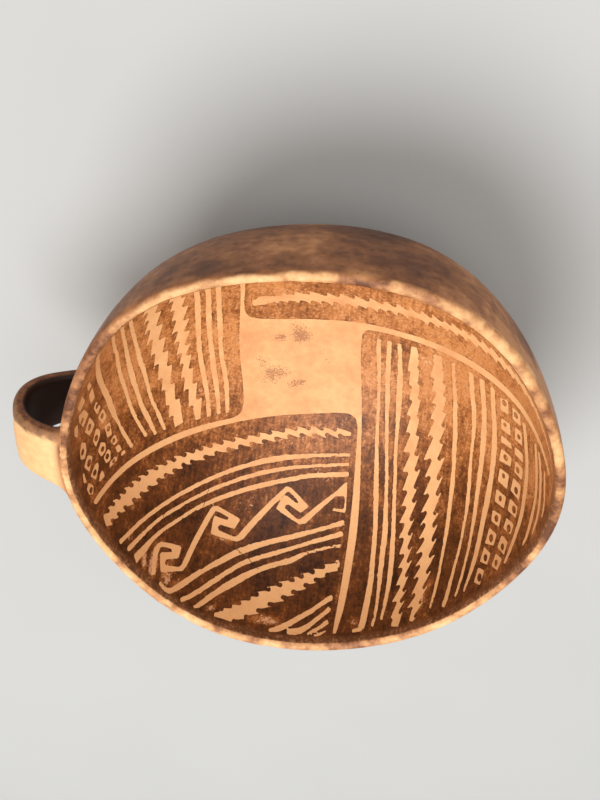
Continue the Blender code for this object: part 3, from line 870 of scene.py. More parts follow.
def strap_line():
    """Middle of the strap: how far out from the rim and up from it."""
    drop = FOOT_ROOT - TOP_ROOT
    foot_out = float(np.interp(outer_way_at(FOOT_ROOT), WAY, WAY_OUT)) - RIM_RADIUS - ROOT_GRIP * WALL
    top = Vector((-ROOT_GRIP * WALL, -TOP_ROOT, 0))
    widest = Vector((HANDLE_REACH, -TOP_ROOT - WIDEST_SHARE * drop, 0))
    foot = Vector((foot_out, -FOOT_ROOT, 0))
    leave_top = top + Vector((TOP_RUN * HANDLE_REACH, 0, 0))
    side_run = Vector((0, SIDE_RUN * drop, 0))
    into_foot = foot + Vector((FOOT_RUN * HANDLE_REACH, FOOT_RISE * drop, 0))
    upper = interpolate_bezier(top, leave_top, widest + side_run, widest, HALF_LINE_POINTS)
    lower = interpolate_bezier(widest, widest - side_run, into_foot, foot, HALF_LINE_POINTS)
    return np.array([point[:2] for point in upper + lower[1:]])


LINE = strap_line()
LINE_WAY = way_along(LINE)
LINE_LENGTH = LINE_WAY[-1]


def bar_section(half_width, half_thickness):
    """Points round a bar with round edges, and the direction that each of them faces."""
    turn = np.linspace(0, 2 * math.pi, EDGE_POINTS, endpoint=False)
    across = np.sign(np.cos(turn)) * (half_width - STRAP_EDGE) + STRAP_EDGE * np.cos(turn)
    through = np.sign(np.sin(turn)) * (half_thickness - STRAP_EDGE) + STRAP_EDGE * np.sin(turn)
    closed = np.stack((np.append(across, across[0]), np.append(through, through[0])), axis=-1)
    length = way_along(closed)
    places = np.linspace(0, length[-1], SECTION_POINTS, endpoint=False)
    across, through = (np.interp(places, length, values) for values in closed.T)
    run = np.roll(across, -1) - np.roll(across, 1), np.roll(through, -1) - np.roll(through, 1)
    size = np.hypot(*run)
    return across, through, run[1] / size, -run[0] / size


def strap_edges(along):
    """Side shift and half width of the strap at a share of its length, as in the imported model."""
    top_flare = max(0.0, 1 - along / FLARE_LENGTH) ** 2
    foot_flare = max(0.0, 1 - (1 - along) / FLARE_LENGTH) ** 2
    half_width = (STRAP_WIDTH + TOP_FLARE * top_flare + FOOT_FLARE * foot_flare) / 2
    return STRAP_SHIFT + TOP_SHIFT * top_flare, half_width


def line_at(station):
    return np.array([np.interp(station, LINE_WAY, values) for values in LINE.T])


def strap_ring(station):
    """Points round the strap at a distance along its line."""
    out, up = line_at(station)
    run = line_at(min(station + NUDGE, LINE_LENGTH)) - line_at(max(station - NUDGE, 0))
    run_out, run_up = run / math.hypot(*run)
    shift, half_width = strap_edges(station / LINE_LENGTH)
    across, through, _, _ = bar_section(half_width, STRAP_THICKNESS / 2)
    radius = RIM_RADIUS + out - through * run_up
    turn = (shift + across) / RIM_RADIUS
    height = RIM_HEIGHT + up + through * run_out
    return np.stack((radius * np.cos(turn), radius * np.sin(turn), height), axis=-1)


print("strap line:", in_mm([LINE_LENGTH]), "mm long")

# %% [markdown]
# Where the potter smeared the clay onto the wall, each root spreads in a soft hollow. Each hollow is a
# few rings on a curve that starts on the wall, heads for the corner and ends on the strap.

# %% Roots of the strap
TOP_SMEAR = (1.2 * MM, 4.0 * MM)        # how far the clay is smeared up and down at the upper root
FOOT_SMEAR = (4.5 * MM, 4.5 * MM)       # and at the lower one
SIDE_SMEAR = 4.0 * MM
ROOT_HOLLOW = 4.6 * MM                  # how far from the wall the hollow begins
HOLLOW_STEPS = 6
FREE_RINGS = 52                         # rings between the two roots
END_POINTS = 8                          # last points of the line, for its direction at the foot
STRAP_WAY = LIP_TOP + 20 * MM           # what the strap counts as: well outside the lip


def root_rings(top):
    """Rings from the smeared edge on the wall out to the strap, and the edge on the flat wall chart."""
    shift, half_width = strap_edges(0.0 if top else 1.0)
    across, through, side, face = bar_section(half_width, STRAP_THICKNESS / 2)
    root = outer_way_at(TOP_ROOT if top else FOOT_ROOT)
    if top:
        up_smear, down_smear = TOP_SMEAR
        corner_way = root - through
        edge_way = corner_way - face * np.where(face > 0, up_smear, down_smear)
    else:
        wall_run = np.array([np.interp(root + MM, WAY, values) - np.interp(root - MM, WAY, values)
                             for values in (WAY_OUT, WAY_UP)])
        line_run = LINE[-1] - LINE[-1 - END_POINTS]
        lean = abs(float(wall_run @ line_run)) / float(np.hypot(*wall_run) * np.hypot(*line_run))
        up_smear, down_smear = FOOT_SMEAR
        corner_way = root + through / math.sqrt(1 - lean ** 2)
        edge_way = corner_way + face * np.where(face > 0, down_smear, up_smear)
    corner_turn = (shift + across) / RIM_RADIUS
    edge_turn = corner_turn + side * SIDE_SMEAR / RIM_RADIUS
    start = ROOT_GRIP * WALL + ROOT_HOLLOW
    station = start if top else LINE_LENGTH - start
    ends = on_wall(edge_way, edge_turn), on_wall(corner_way, corner_turn), strap_ring(station)
    rings = [bend(step / HOLLOW_STEPS, *ends) for step in range(HOLLOW_STEPS)]
    return rings, station, np.stack((edge_turn * RIM_RADIUS, edge_way), axis=-1), face


top_rings, top_station, top_edge, top_face = root_rings(True)
foot_rings, foot_station, foot_edge, _ = root_rings(False)
stations = np.linspace(top_station, foot_station, FREE_RINGS)
rings = top_rings + [strap_ring(station) for station in stations] + foot_rings[::-1]
last_ring = len(rings) - 1
strap_sheet, x, y = new_grid("strap_sheet", SECTION_POINTS, last_ring)
row, column = number_of(y, last_ring), number_of(x, SECTION_POINTS) % SECTION_POINTS
move_points(strap_sheet, np.array(rings)[row, column])
steps_in = np.minimum(row, last_ring - row) / HOLLOW_STEPS
mark(strap_sheet, way=STRAP_WAY, angle=0, strap=np.minimum(1, steps_in), strap_face=top_face[column])
print("strap:", len(rings), "rings of", SECTION_POINTS, "points")

# %% [markdown]
# ## Closing the window
# The wall between the window's frame and the two roots has three edges of different shapes. A
# constrained triangulation on the flat wall chart fills it: it keeps all three edges, and loose
# points between them let the patch follow the wall.

# %% Patch round the roots
PATCH_STEP = 1.9 * MM                   # between loose points
PATCH_ROW = PATCH_STEP * math.sqrt(0.75)    # between their rows, so that the triangles are even
PATCH_GAP = 0.55                        # mm that loose points keep from an edge
INSIDE_ONLY = 1                         # the triangulation leaves out what lies outside the outlines
SAME_POINT = 1e-5                       # mm


def window_frame():
    """The window's edge against the clock, as distances round the rim and along the wall."""
    turns = np.arange(WINDOW_COLUMNS[0], WINDOW_COLUMNS[1] + 1) * COLUMN * RIM_RADIUS
    rows = outside_ways[(outside_ways >= window_ends[0]) & (outside_ways <= window_ends[1])]
    corners = [(turn, rows[0]) for turn in turns] + [(turns[-1], way) for way in rows[1:]]
    corners += [(turn, rows[-1]) for turn in turns[-2::-1]] + [(turns[0], way) for way in rows[-2:0:-1]]
    return np.array(corners)


frame_edge = window_frame()
frame_low, frame_high = frame_edge.min(axis=0), frame_edge.max(axis=0)
columns, rows = (int(count) + 1 for count in (frame_high - frame_low) / (PATCH_STEP, PATCH_ROW))
loose = np.array([(frame_low[0] + (i + 0.5 * (j % 2)) * PATCH_STEP, frame_low[1] + j * PATCH_ROW)
                  for j in range(rows) for i in range(columns)])
roomy = inside_distance(loose / MM, frame_edge / MM) > PATCH_GAP
for root_edge in (top_edge, foot_edge):
    roomy &= inside_distance(loose / MM, root_edge / MM) < -PATCH_GAP
chart_points = np.vstack((frame_edge, top_edge, foot_edge, loose[roomy])) / MM
counts = np.cumsum([0, len(frame_edge), len(top_edge), len(foot_edge)])
loops = [list(range(start, end)) for start, end in zip(counts, counts[1:])]
loops[1].reverse()                      # each outline has to run against the clock
flat_points = [Vector(point) for point in chart_points]
filled = delaunay_2d_cdt(flat_points, [], loops, INSIDE_ONLY, SAME_POINT, True)
kept = [face for face, origin in zip(filled[2], filled[5]) if not {1, 2} & set(origin)]
patch_chart = np.array([point[:] for point in filled[0]]) * MM
patch_mesh = bpy.data.meshes.new("patch_sheet")
patch_mesh.from_pydata([(*point, 0.0) for point in patch_chart.tolist()], [], kept)
patch_sheet = bpy.data.objects.new("patch_sheet", patch_mesh)
bpy.context.scene.collection.objects.link(patch_sheet)
lay_on_wall(patch_sheet, patch_chart[:, 1], patch_chart[:, 0] / RIM_RADIUS)
print("patch:", len(kept), "faces")

# %% [markdown]
# ## One closed skin
# The five sheets become one object. Where they share an edge their points fall together and are
# merged. The worn flat is closed with a face that is inset twice, so that its edge shades softly.

# %% Join, merge and close
MERGE = 0.01 * MM
ON_FLAT_EDGE = 0.02 * MM
FLAT_INSETS = (1.2 * MM, 3 * MM)

bpy.ops.object.select_all(action="DESELECT")
for sheet in (floor_sheet, wall_sheet, outside_sheet, strap_sheet, patch_sheet):
    sheet.select_set(True)
bpy.context.view_layer.objects.active = floor_sheet
bpy.ops.object.join()
bowl = bpy.context.active_object
bowl.name = "painted_bowl"
bpy.ops.object.mode_set(mode="EDIT")
bpy.ops.mesh.select_all(action="SELECT")
bpy.ops.mesh.remove_doubles(threshold=MERGE)
bpy.ops.object.mode_set(mode="OBJECT")
pick(bowl, "VERT", np.abs(marked(bowl, "way") - FLAT_EDGE) < ON_FLAT_EDGE)
bpy.ops.mesh.select_mode(type="EDGE")
bpy.ops.mesh.edge_face_add()
for width in FLAT_INSETS:
    bpy.ops.mesh.inset(thickness=width, depth=0)
bpy.ops.object.mode_set(mode="OBJECT")
print("joined:", len(bowl.data.polygons), "faces")

# %% [markdown]
# The hooked teeth and the small squares have details 2 mm wide, finer than the sheets can carry. So the
# squares along their outlines are cut in four, and the new points are set back onto the true wall.

# %% Finer squares along the teeth
FINE_REACH = 0.75                       # mm from an outline within which the squares are cut

inner = (marked(bowl, "strap") == 0) & (marked(bowl, "way") < INSIDE_END)
chart = chart_of(marked(bowl, "way"), marked(bowl, "angle"))
from_edge = np.full(len(chart), FAR_FROM_EDGE)
for outline in fine_shapes:
    close = near_outline(chart, outline)
    from_edge[close] = np.minimum(from_edge[close], np.abs(inside_distance(chart[close], outline)))
from_edge = np.where(inner, from_edge, FAR_FROM_EDGE)
corners = np.empty(len(bowl.data.loops), int)
bowl.data.loops.foreach_get("vertex_index", corners)
first_corners = np.empty(len(bowl.data.polygons), int)
bowl.data.polygons.foreach_get("loop_start", first_corners)
too_coarse = np.minimum.reduceat(from_edge[corners], first_corners) < FINE_REACH
pick(bowl, "FACE", too_coarse)
bpy.ops.mesh.subdivide(number_cuts=1)
bpy.ops.object.mode_set(mode="OBJECT")
points, ways = points_of(bowl), marked(bowl, "way")
inner = (marked(bowl, "strap") == 0) & (ways < INSIDE_END)
angles = np.where(inner, np.arctan2(points[:, 1], points[:, 0]), marked(bowl, "angle"))
points[inner] = on_wall(ways[inner], angles[inner])
move_points(bowl, points)
mark(bowl, angle=angles)
print("cut in four:", int(too_coarse.sum()), "squares")

# %% [markdown]
# Last, every face becomes triangles that point outwards, and the skin has to be closed: no point may
# lie on an open edge.

# %% Closed skin
bpy.ops.object.mode_set(mode="EDIT")
bpy.ops.mesh.select_all(action="SELECT")
bpy.ops.mesh.quads_convert_to_tris()
bpy.ops.mesh.normals_make_consistent(inside=False)
bpy.ops.mesh.select_mode(type="EDGE")
bpy.ops.mesh.select_all(action="DESELECT")
bpy.ops.mesh.select_non_manifold()
bpy.ops.object.mode_set(mode="OBJECT")
open_points = sum(vertex.select for vertex in bowl.data.vertices)
print("skin:", len(bowl.data.polygons), "faces,", open_points, "points on an open edge")
assert open_points == 0

# %% [markdown]
# ## Out of round, by hand
# A coiled bowl is never a true circle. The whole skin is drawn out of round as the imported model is.
# Then the outside loses a few tenths of a millimetre here and there, and the lip gets its small
# knocks. Nothing is added outwards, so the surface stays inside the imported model.

# %% Uneven walls and a knocked lip
UNEVEN = 0.5 * MM
UNEVEN_WIDTH = 26 * MM                  # of a hollow in the outside
UNEVEN_START = 8 * MM                   # below the lip's top, where the hollows are at their full depth
LIP_UNEVEN = 0.3 * MM
LIP_WIDTH = 16 * MM                     # of a dip along the lip
LIP_BAND = 5 * MM                       # how far from the lip's top the dips and knocks reach
RIM_LOSS = 0.12 * MM                    # worn off the outside near the lip
RIM_LOSS_START = 2 * MM
LIP_KNOCKS = (                          # direction in degrees, half its length and its depth in mm
    (-20.5, 2.2, 1.3), (-12, 1.6, 0.6), (-35, 3.0, 0.7), (-58, 5.0, 0.6), (-84, 2.4, 0.5), (-104, 6.0, 0.5),
    (-131, 3.0, 0.8), (-152, 4.0, 0.6), (168, 2.2, 0.7), (143, 3.5, 0.5), (112, 2.0, 0.6), (84, 4.0, 0.5),
    (61, 2.6, 0.7), (55, 1.6, 0.9), (38, 3.4, 0.5), (14, 2.0, 0.4))


def softly(points, width):
    """A number from 0 to 1 that changes softly over this width."""
    return 0.5 + 0.5 * np.array([noise.noise(Vector(point) / width) for point in points])


def turned_from(angle, degrees):
    """How far a direction is turned from another, the shorter way round."""
    return np.angle(np.exp(1j * (angle - math.radians(degrees))))


points = drawn_out_of_round(points_of(bowl))
ways, on_strap = marked(bowl, "way"), marked(bowl, "strap") > 0
angles = np.where(on_strap, 0, marked(bowl, "angle"))
height_share = np.clip(points[:, 2] / RIM_HEIGHT, 0, 1)
past_lip = ways - LIP_TOP
hollows = ~on_strap * np.clip(past_lip / UNEVEN_START, 0, 1) * np.sin(np.pi * height_share)
outside_loss = hollows * UNEVEN * softly(points, UNEVEN_WIDTH)
outside_loss += RIM_LOSS * ~on_strap * np.clip(past_lip / RIM_LOSS_START + 0.5, 0, 1) * height_share
near_lip = np.clip(1 - np.abs(past_lip) / LIP_BAND, 0, 1) * ~on_strap
sunk = near_lip * LIP_UNEVEN * softly(points, LIP_WIDTH)
for direction, half_length, depth in LIP_KNOCKS:
    turned = turned_from(np.arctan2(points[:, 1], points[:, 0]), direction)
    away = np.abs(turned) * RIM_RADIUS / MM / half_length
    sunk = sunk + near_lip * depth * MM * np.clip(1 - away ** 2, 0, 1)
radius = np.hypot(points[:, 0], points[:, 1])
points[:, :2] *= (1 - outside_loss / np.maximum(radius, MM))[:, None]
points[:, 2] -= sunk
move_points(bowl, points)
print("deepest knock", in_mm([sunk.max()]), "mm")

# %% [markdown]
# ## Wear, specks and smoke
# Where hands and tools rubbed the inside, the paint is thin or gone. Each worn spot is a soft patch
# on the chart. The plain square has a few clusters of dark specks, kept in the same way, and the lip
# is smoked in places.

# %% Numbers for the finish
WORN_SPOTS = (                          # across, up, half length, half width in mm, lean in degrees, strength
    (103, 95, 9, 4, 62, 1.0), (92, 105, 9, 5, 50, 0.75), (110, 90, 7, 2.5, 78, 1.0), (86, 113, 6, 3, 30, 0.6),
    (18, 142.5, 11, 3, -10, 0.8), (60, 131.5, 4, 2, 0, 0.9), (48, 93.5, 8, 1.6, -22, 0.7),
    (118, 70, 6, 3, 80, 0.5), (-92, 116, 4, 6, 0, 0.6), (-94, 108, 3, 5, 0, 0.4), (131, 52, 4, 2.5, 60, 0.5),
    (-46, 141, 5, 3, 10, 0.6), (100, -25, 8, 5, -70, 0.45), (97, -6, 7, 2.4, -60, 0.5),
    (121, -9, 6, 5, 0, 0.5), (70, 18, 10, 8, 0, 0.35), (30, 78, 12, 9, 0, 0.35), (-12, 60, 10, 9, 0, 0.3),
    (-66, -16, 9, 7, 0, 0.45), (-78, 12, 8, 8, 0, 0.35), (5, 44, 20, 8, 0, 0.3), (52, 8, 9, 9, 0, 0.35),
    (-30, 128, 3, 8, 0, 0.3), (92, -25, 26, 6, 90, 0.3), (45, -30, 24, 6, 90, 0.2))
SPECKLED_SPOTS = (
    (2, -22, 7, 8, 0, 0.9), (13, -20, 5, 5, 0, 0.8), (-12, -6, 6, 5, 0, 0.45), (16, 4, 9, 7, 20, 0.9),
    (4, 10, 6, 5, 0, 0.8), (-22, 10, 5, 8, 0, 0.3), (22, -4, 6, 6, 0, 0.6), (-4, 20, 14, 5, 0, 0.3),
    (-18, -22, 6, 5, 0, 0.35), (38, -26, 5, 4, 0, 0.3))
LIP_SMOKE = (                           # direction and half width in degrees, strength
    (-6, 6, 0.5), (-18, 10, 0.8), (-34, 12, 0.7), (-98, 5, 0.9), (-112, 8, 0.3), (-150, 10, 0.4),
    (180, 9, 0.75), (160, 7, 0.6), (-165, 6, 0.5), (102, 12, 0.4), (76, 6, 0.35))


def spots_at(chart, spots):
    """How strongly the soft spots cover each chart point."""
    cover = np.zeros(len(chart))
    for across, up, half_length, half_width, lean, strength in spots:
        cosine, sine = math.cos(math.radians(lean)), math.sin(math.radians(lean))
        x, y = chart[:, 0] - across, chart[:, 1] - up
        away = ((x * cosine + y * sine) / half_length) ** 2 + ((y * cosine - x * sine) / half_width) ** 2
        cover = np.maximum(cover, strength * np.exp(-away))
    return cover


smoked_lip = np.zeros(len(ways))
for direction, half_width, strength in LIP_SMOKE:
    away = turned_from(angles, direction) / math.radians(half_width)
    smoked_lip = np.maximum(smoked_lip, strength * np.exp(-away ** 2))
inner = ~on_strap & (ways < LIP_TOP)
chart = chart_of(ways, angles)
slip = np.full(len(ways), -FAR_FROM_EDGE)
slip[inner] = slip_distance(chart[inner])
mark(bowl, slip=slip, over_lip=-past_lip / MM, worn=np.where(inner, spots_at(chart, WORN_SPOTS), 0),
     speckled=np.where(inner, spots_at(chart, SPECKLED_SPOTS), 0),
     across=chart[:, 0], up=chart[:, 1], lip_smoke=smoked_lip)
bowl.data.shade_smooth()
print("open slip on", round(100 * float((slip[inner] > 0).mean())), "% of the inner points")

# %% [markdown]
# ## Shader maths
# A finish is built as sums. The small class below wraps a node's output, so that ordinary operators
# add the Math nodes. One more class holds a material and makes every other node: it takes the node's
# type, its settings, and the values or links of its sockets.

# %% Shader maths
class Wire:
    """A node's output that can stand in a sum."""

    def __init__(self, finish, socket):
        self.finish = finish
        self.socket = socket

    def maths(self, operation, *others, clamp=False):
        values = dict(enumerate((self, *others)))
        return self.finish.node("Math", {"operation": operation, "use_clamp": clamp}, values)

    def __add__(self, other):
        return self.maths("ADD", other)

    def __sub__(self, other):
        return self.maths("SUBTRACT", other)

    def __rsub__(self, other):
        return self.finish.node("Math", {"operation": "SUBTRACT"}, {0: other, 1: self})

    def __mul__(self, other):
        return self.maths("MULTIPLY", other)

    __radd__ = __add__
    __rmul__ = __mul__

    def swing(self, strength):
        """How far a noise is above or below its middle, which is 0.5, times a strength."""
        return (self - 0.5) * strength

    def step(self, low, high):
        """A soft step from 0 at low to 1 at high."""
        if low > high:
            return 1 - self.step(high, low)
        values = {"Value": self, "From Min": low, "From Max": high}
        return self.finish.node("MapRange", {"interpolation_type": "SMOOTHSTEP"}, values)

    def limited(self):
        """The same, kept between 0 and 1."""
        return self.maths("ADD", 0.0, clamp=True)


def tint(red, green, blue):
    """A colour as a paint chart names it, 0 to 255, in the linear values that a shader takes."""
    return tuple(((part / 255 + 0.055) / 1.055) ** 2.4 for part in (red, green, blue)) + (1.0,)


# A Mix node has sockets for each kind of value, and these are the numbers of those for colours.
MIX_FIRST, MIX_SECOND, MIX_RESULT = 6, 7, 2


class Finish:
    """A material and the nodes that make its finish."""

    def __init__(self, name):
        self.material = bpy.data.materials.new(name)
        self.material.use_nodes = True
        self.tree = self.material.node_tree
        self.shader = self.tree.nodes["Principled BSDF"]
        place = self.node("TexCoord", output="Object")
        self.place = self.node("VectorMath", {"operation": "SCALE"}, {0: place, "Scale": 1 / MM})

    def node(self, kind, settings=None, values=None, output=0):
        made = self.tree.nodes.new("ShaderNode" + kind)
        for setting, value in (settings or {}).items():
            if setting == "stops":
                self.set_stops(made.color_ramp, value)
            else:
                setattr(made, setting, value)
        for socket, value in (values or {}).items():
            self.feed(made.inputs[socket], value)
        return Wire(self, made.outputs[output])

    def feed(self, socket, value):
        if isinstance(value, Wire):
            self.tree.links.new(value.socket, socket)
        else:
            socket.default_value = value

    def set_stops(self, ramp, stops):
        for _ in stops[2:]:
            ramp.elements.new(0.5)
        for element, (position, *colour) in zip(ramp.elements, stops):
            element.position = position
            element.color = tint(*colour)

    def attribute(self, name):
        return self.node("Attribute", {"attribute_name": name}, output="Fac")

    def noise(self, size, detail=2.0, stretch=(1, 1, 1), shift=(0, 0, 0)):
        """Noise from 0 to 1 whose spots are this many millimetres wide."""
        scale = tuple(1 / (size * part) for part in stretch)
        values = {"Vector": self.place, "Location": shift, "Scale": scale}
        place = self.node("Mapping", {"vector_type": "POINT"}, values)
        values = {"Vector": place, "Scale": 1.0, "Detail": detail}
        return self.node("TexNoise", {"noise_dimensions": "3D"}, values)

    def blend(self, share, first, second):
        """A mix of two colours: the first at 0 and the second at 1."""
        values = {0: share, MIX_FIRST: first, MIX_SECOND: second}
        return self.node("Mix", {"data_type": "RGBA"}, values, output=MIX_RESULT)

    def ramp(self, value, stops):
        """A colour that runs through the stops, each a position and a colour of the paint chart."""
        return self.node("ValToRGB", {"stops": stops}, {0: value})

# %% [markdown]
# ## The clay's finish
# One material covers the whole bowl, because it is one piece of clay. Everything in it grows out of a
# few noises: fine grain, specks and flecks, mottling, patches as wide as a thumb and clouds of smoke.

# %% Noises of the clay
clay = Finish("painted_clay")
place_x, place_y, place_z = (clay.node("SeparateXYZ", None, {0: clay.place}, output=axis)
                             for axis in range(3))
grain = clay.noise(0.7, detail=3)
speck_noise = clay.noise(1.1, detail=3, shift=(7, 3, 1))
flecks = clay.noise(1.5, detail=4, shift=(1, 7, 7))
mottle = clay.noise(4, detail=5, shift=(2, 9, 4))
patches = clay.noise(17, detail=2, shift=(5, 1, 8))
clouds = clay.noise(46, detail=2, shift=(3.1, 0.4, 6.2))
print("noises:", len(clay.tree.nodes), "nodes so far")

# %% [markdown]
# Inside, dark brown paint lies on a buff slip. The paint is thick and nearly black-brown towards the far
# rim: it grows darker up the wall, where it is thicker, and darker towards the far wall, which is painted
# shade. It is thin and speckled on the floor, paler towards -X, and darker along the edges of each
# stroke, where it pooled.
# Near the lip it runs out into smoked clay.

# %% Paint
# Paint from thin to thick; the dark end also stands for painted shade on the far wall.
THIN_TO_THICK_AND_SHADED = ((0.0, 198, 130, 72), (0.3, 158, 96, 46), (0.6, 104, 58, 24), (1.0, 52, 26, 7))
POOLED_PAINT = tint(76, 38, 13)
SLIP_THROUGH_PAINT = tint(214, 158, 108)
DARK_GRAIN = tint(70, 36, 14)
SMOKED_CLAY = ((0.3, 64, 38, 22), (0.55, 118, 78, 50), (0.75, 176, 126, 88))
SOFT_EDGE = (-0.12, 0.12)               # mm from a stroke's edge, over which paint gives way to slip
POOL_EDGE = (-1.3, -0.35)               # mm from it into the paint, over which the pool thickens
BORDER = (9, 5)                         # mm inside the lip's top, where the smoked clay takes over

over_lip = clay.attribute("over_lip")
stroke_edge = clay.attribute("slip") + speck_noise.swing(0.45) + clay.noise(3.2).swing(0.4)
on_slip = stroke_edge.step(*SOFT_EDGE)
pooled = stroke_edge.step(*POOL_EDGE) * mottle.step(0.42, 0.62)

# Darker higher up, where the paint is thicker, and darker towards the far wall (+Y), which is painted shade.
far_wall_depth_and_shade = (place_y * 0.011 + place_z * 0.007 - 0.25).limited()
other_side = (place_x * -0.011 - 0.2).limited()
brushed = clay.noise(9, detail=3, stretch=(0.16, 1, 1), shift=(3, 3, 3))
worn = clay.attribute("worn")
# The paint's thickness below also carries the painted shade of the far wall.
thickness = (0.18 - 0.7 * worn + 0.57 * far_wall_depth_and_shade - 0.14 * other_side
             + patches.swing(0.9) + mottle.swing(0.6) + brushed.swing(0.6) + flecks.swing(0.8)).limited()
paint = clay.ramp(thickness, THIN_TO_THICK_AND_SHADED)
paint = clay.blend(pooled * 0.4, paint, POOLED_PAINT)
see_through = (speck_noise - 0.2 * thickness).step(0.46, 0.6) * (1 - thickness).step(0.25, 0.95)
paint = clay.blend(see_through * 0.6, paint, SLIP_THROUGH_PAINT)
paint = clay.blend(grain.step(0.6, 0.74) * 0.4, paint, DARK_GRAIN)
smoked = clay.ramp((flecks * 0.9 + mottle * 0.5 - 0.15).limited(), SMOKED_CLAY)
border = (over_lip + patches.swing(5) + mottle.swing(2.5)).step(*BORDER)
paint = clay.blend(border * 0.8, paint, smoked)
print("paint:", len(clay.tree.nodes), "nodes so far")

# %% [markdown]
# The slip is buff and a little paler up the wall. It has dark grains, and clusters of specks on the
# plain square. Where the paint is worn through, pale clay shows, with some scratches left in the paint.

# %% Slip and worn places
SLIP_CLAY = ((0.0, 206, 145, 96), (0.5, 224, 166, 112), (1.0, 238, 187, 131))
PALE_SLIP = tint(247, 199, 142)
SLIP_GRAIN = tint(182, 118, 70)
DARK_SPECKS = tint(142, 92, 60)
BARE_CLAY = tint(224, 180, 142)
PALER_HEIGHTS = (10, 55)                # mm above the ground, over which the slip grows paler

slip_tone = (0.5 + patches.swing(1.3) + mottle.swing(0.9)).limited()
slip_clay = clay.ramp(slip_tone, SLIP_CLAY)
slip_clay = clay.blend(place_z.step(*PALER_HEIGHTS) * 0.6, slip_clay, PALE_SLIP)
slip_clay = clay.blend(grain.step(0.56, 0.72) * 0.35, slip_clay, SLIP_GRAIN)
dark_specks = clay.noise(0.8, detail=2, shift=(5, 5, 2))
specks = clay.attribute("speckled") + dark_specks.swing(1.7) + mottle.swing(1.2)
slip_clay = clay.blend(specks.step(0.52, 0.8) * 0.7, slip_clay, DARK_SPECKS)

worn_edge = worn + speck_noise.swing(1.5) + clay.noise(2.6, shift=(1, 5, 2)).swing(1.0)
worn_through = worn_edge.step(0.5, 0.72) * 0.85
scratched = clay.noise(3, detail=3, stretch=(1, 0.2, 0.5), shift=(8, 1, 3)).step(0.56, 0.62)
paint = clay.blend(worn_through * (1 - 0.8 * scratched), paint, BARE_CLAY)
inside_colour = clay.blend(on_slip, paint, slip_clay)
print("slip:", len(clay.tree.nodes), "nodes so far")

# %% [markdown]
# The hairline cracks run across the painted lines in two places. Each is a straight cut on the chart,
# made crooked with noise and given its real place, direction and length.

# %% Hairline cracks
CRACKS = ((33, 105.5, 12, -38), (58.5, 72, 9, 62), (66, 84, 7, 70))    # across, up, half length, lean
CROOKED = 3.0                           # mm from side to side
CRACK_EDGE = (0.32, 0.12)               # mm from its middle, from clear clay to full crack
CRACK_FADE = 2                          # mm over which its ends fade
CRACK_COLOUR = tint(58, 34, 20)

chart_across = clay.attribute("across") + clay.noise(5, shift=(4, 4, 4)).swing(CROOKED)
chart_up = clay.attribute("up") + clay.noise(5, shift=(8, 2, 6)).swing(CROOKED)
for middle_across, middle_up, half_length, lean in CRACKS:
    cosine, sine = math.cos(math.radians(lean)), math.sin(math.radians(lean))
    x, y = chart_across - middle_across, chart_up - middle_up
    aside = (y * cosine - x * sine).maths("ABSOLUTE")
    along = (x * cosine + y * sine).maths("ABSOLUTE")
    crack = aside.step(*CRACK_EDGE) * along.step(half_length, half_length - CRACK_FADE)
    inside_colour = clay.blend(crack * 0.8, inside_colour, CRACK_COLOUR)
print("cracks:", len(CRACKS))

# %% [markdown]
# The lip is bare and bright where hands rubbed it, with smoked places between, and reaches further down
# on the key lamp's side, which is painted light. The outside is smoked brown, paler on the sides that were
# handled, paler still on the key lamp's side as painted light, and has streaks from the smoothing stone.

# %% Lip and outside
OUTSIDE_CLAY = ((0.0, 186, 128, 82), (0.3, 146, 93, 56), (0.6, 106, 64, 38), (1.0, 70, 41, 25))
SCRAPED = tint(156, 108, 72)
SOOT = tint(66, 42, 30)
LIP_CLAY = ((0.0, 104, 62, 38), (0.3, 168, 112, 72), (0.62, 220, 164, 110), (1.0, 240, 198, 144))
RUBBED_DOWN = (-26, -2)                 # mm past the lip's top, over which the rubbed side grows bare
BARE_LIP = (-3.4, -0.8)                 # mm past it, where the bare lip gives way to the outside
PAINT_START = (1.7, 2.3)                # mm inside it, where the painted inside begins

streaks = clay.noise(18, detail=3, stretch=(1, 1, 0.3), shift=(0, 0, 3))
scrapes = clay.noise(6, detail=2, stretch=(1, 1, 0.2), shift=(6, 0, 3))
# Paler towards +X and +Y, the key lamp's side: painted light on the outside and on the bare lip.
painted_lit_side = (place_x * 0.006 + place_y * 0.007).limited()
sideways = (place_x.maths("ABSOLUTE") * 0.011 - 0.35).limited()
rubbed_side = (place_x * -0.008 - place_y * 0.006 - 0.5).limited() * over_lip.step(*RUBBED_DOWN)
smoke = (0.48 + clouds.swing(1.3) + patches.swing(1.0) + streaks.swing(0.5) + mottle.swing(0.7)
         - 0.35 * painted_lit_side - 0.45 * sideways - 0.7 * rubbed_side).limited()
outside_colour = clay.ramp(smoke, OUTSIDE_CLAY)
outside_colour = clay.blend(scrapes.step(0.58, 0.75) * 0.2, outside_colour, SCRAPED)
outside_colour = clay.blend(flecks.step(0.58, 0.72) * 0.3, outside_colour, SOOT)

lip_smoke = clay.attribute("lip_smoke")
lip_tone = (0.62 + mottle.swing(0.6) + clay.noise(9, shift=(1, 1, 7)).swing(1.3) + flecks.swing(0.4)
            - 0.75 * lip_smoke).limited()
lip_colour = clay.ramp(lip_tone, LIP_CLAY)
ragged = clay.noise(9, shift=(2, 2, 2)).swing(1.8) + speck_noise.swing(0.8)
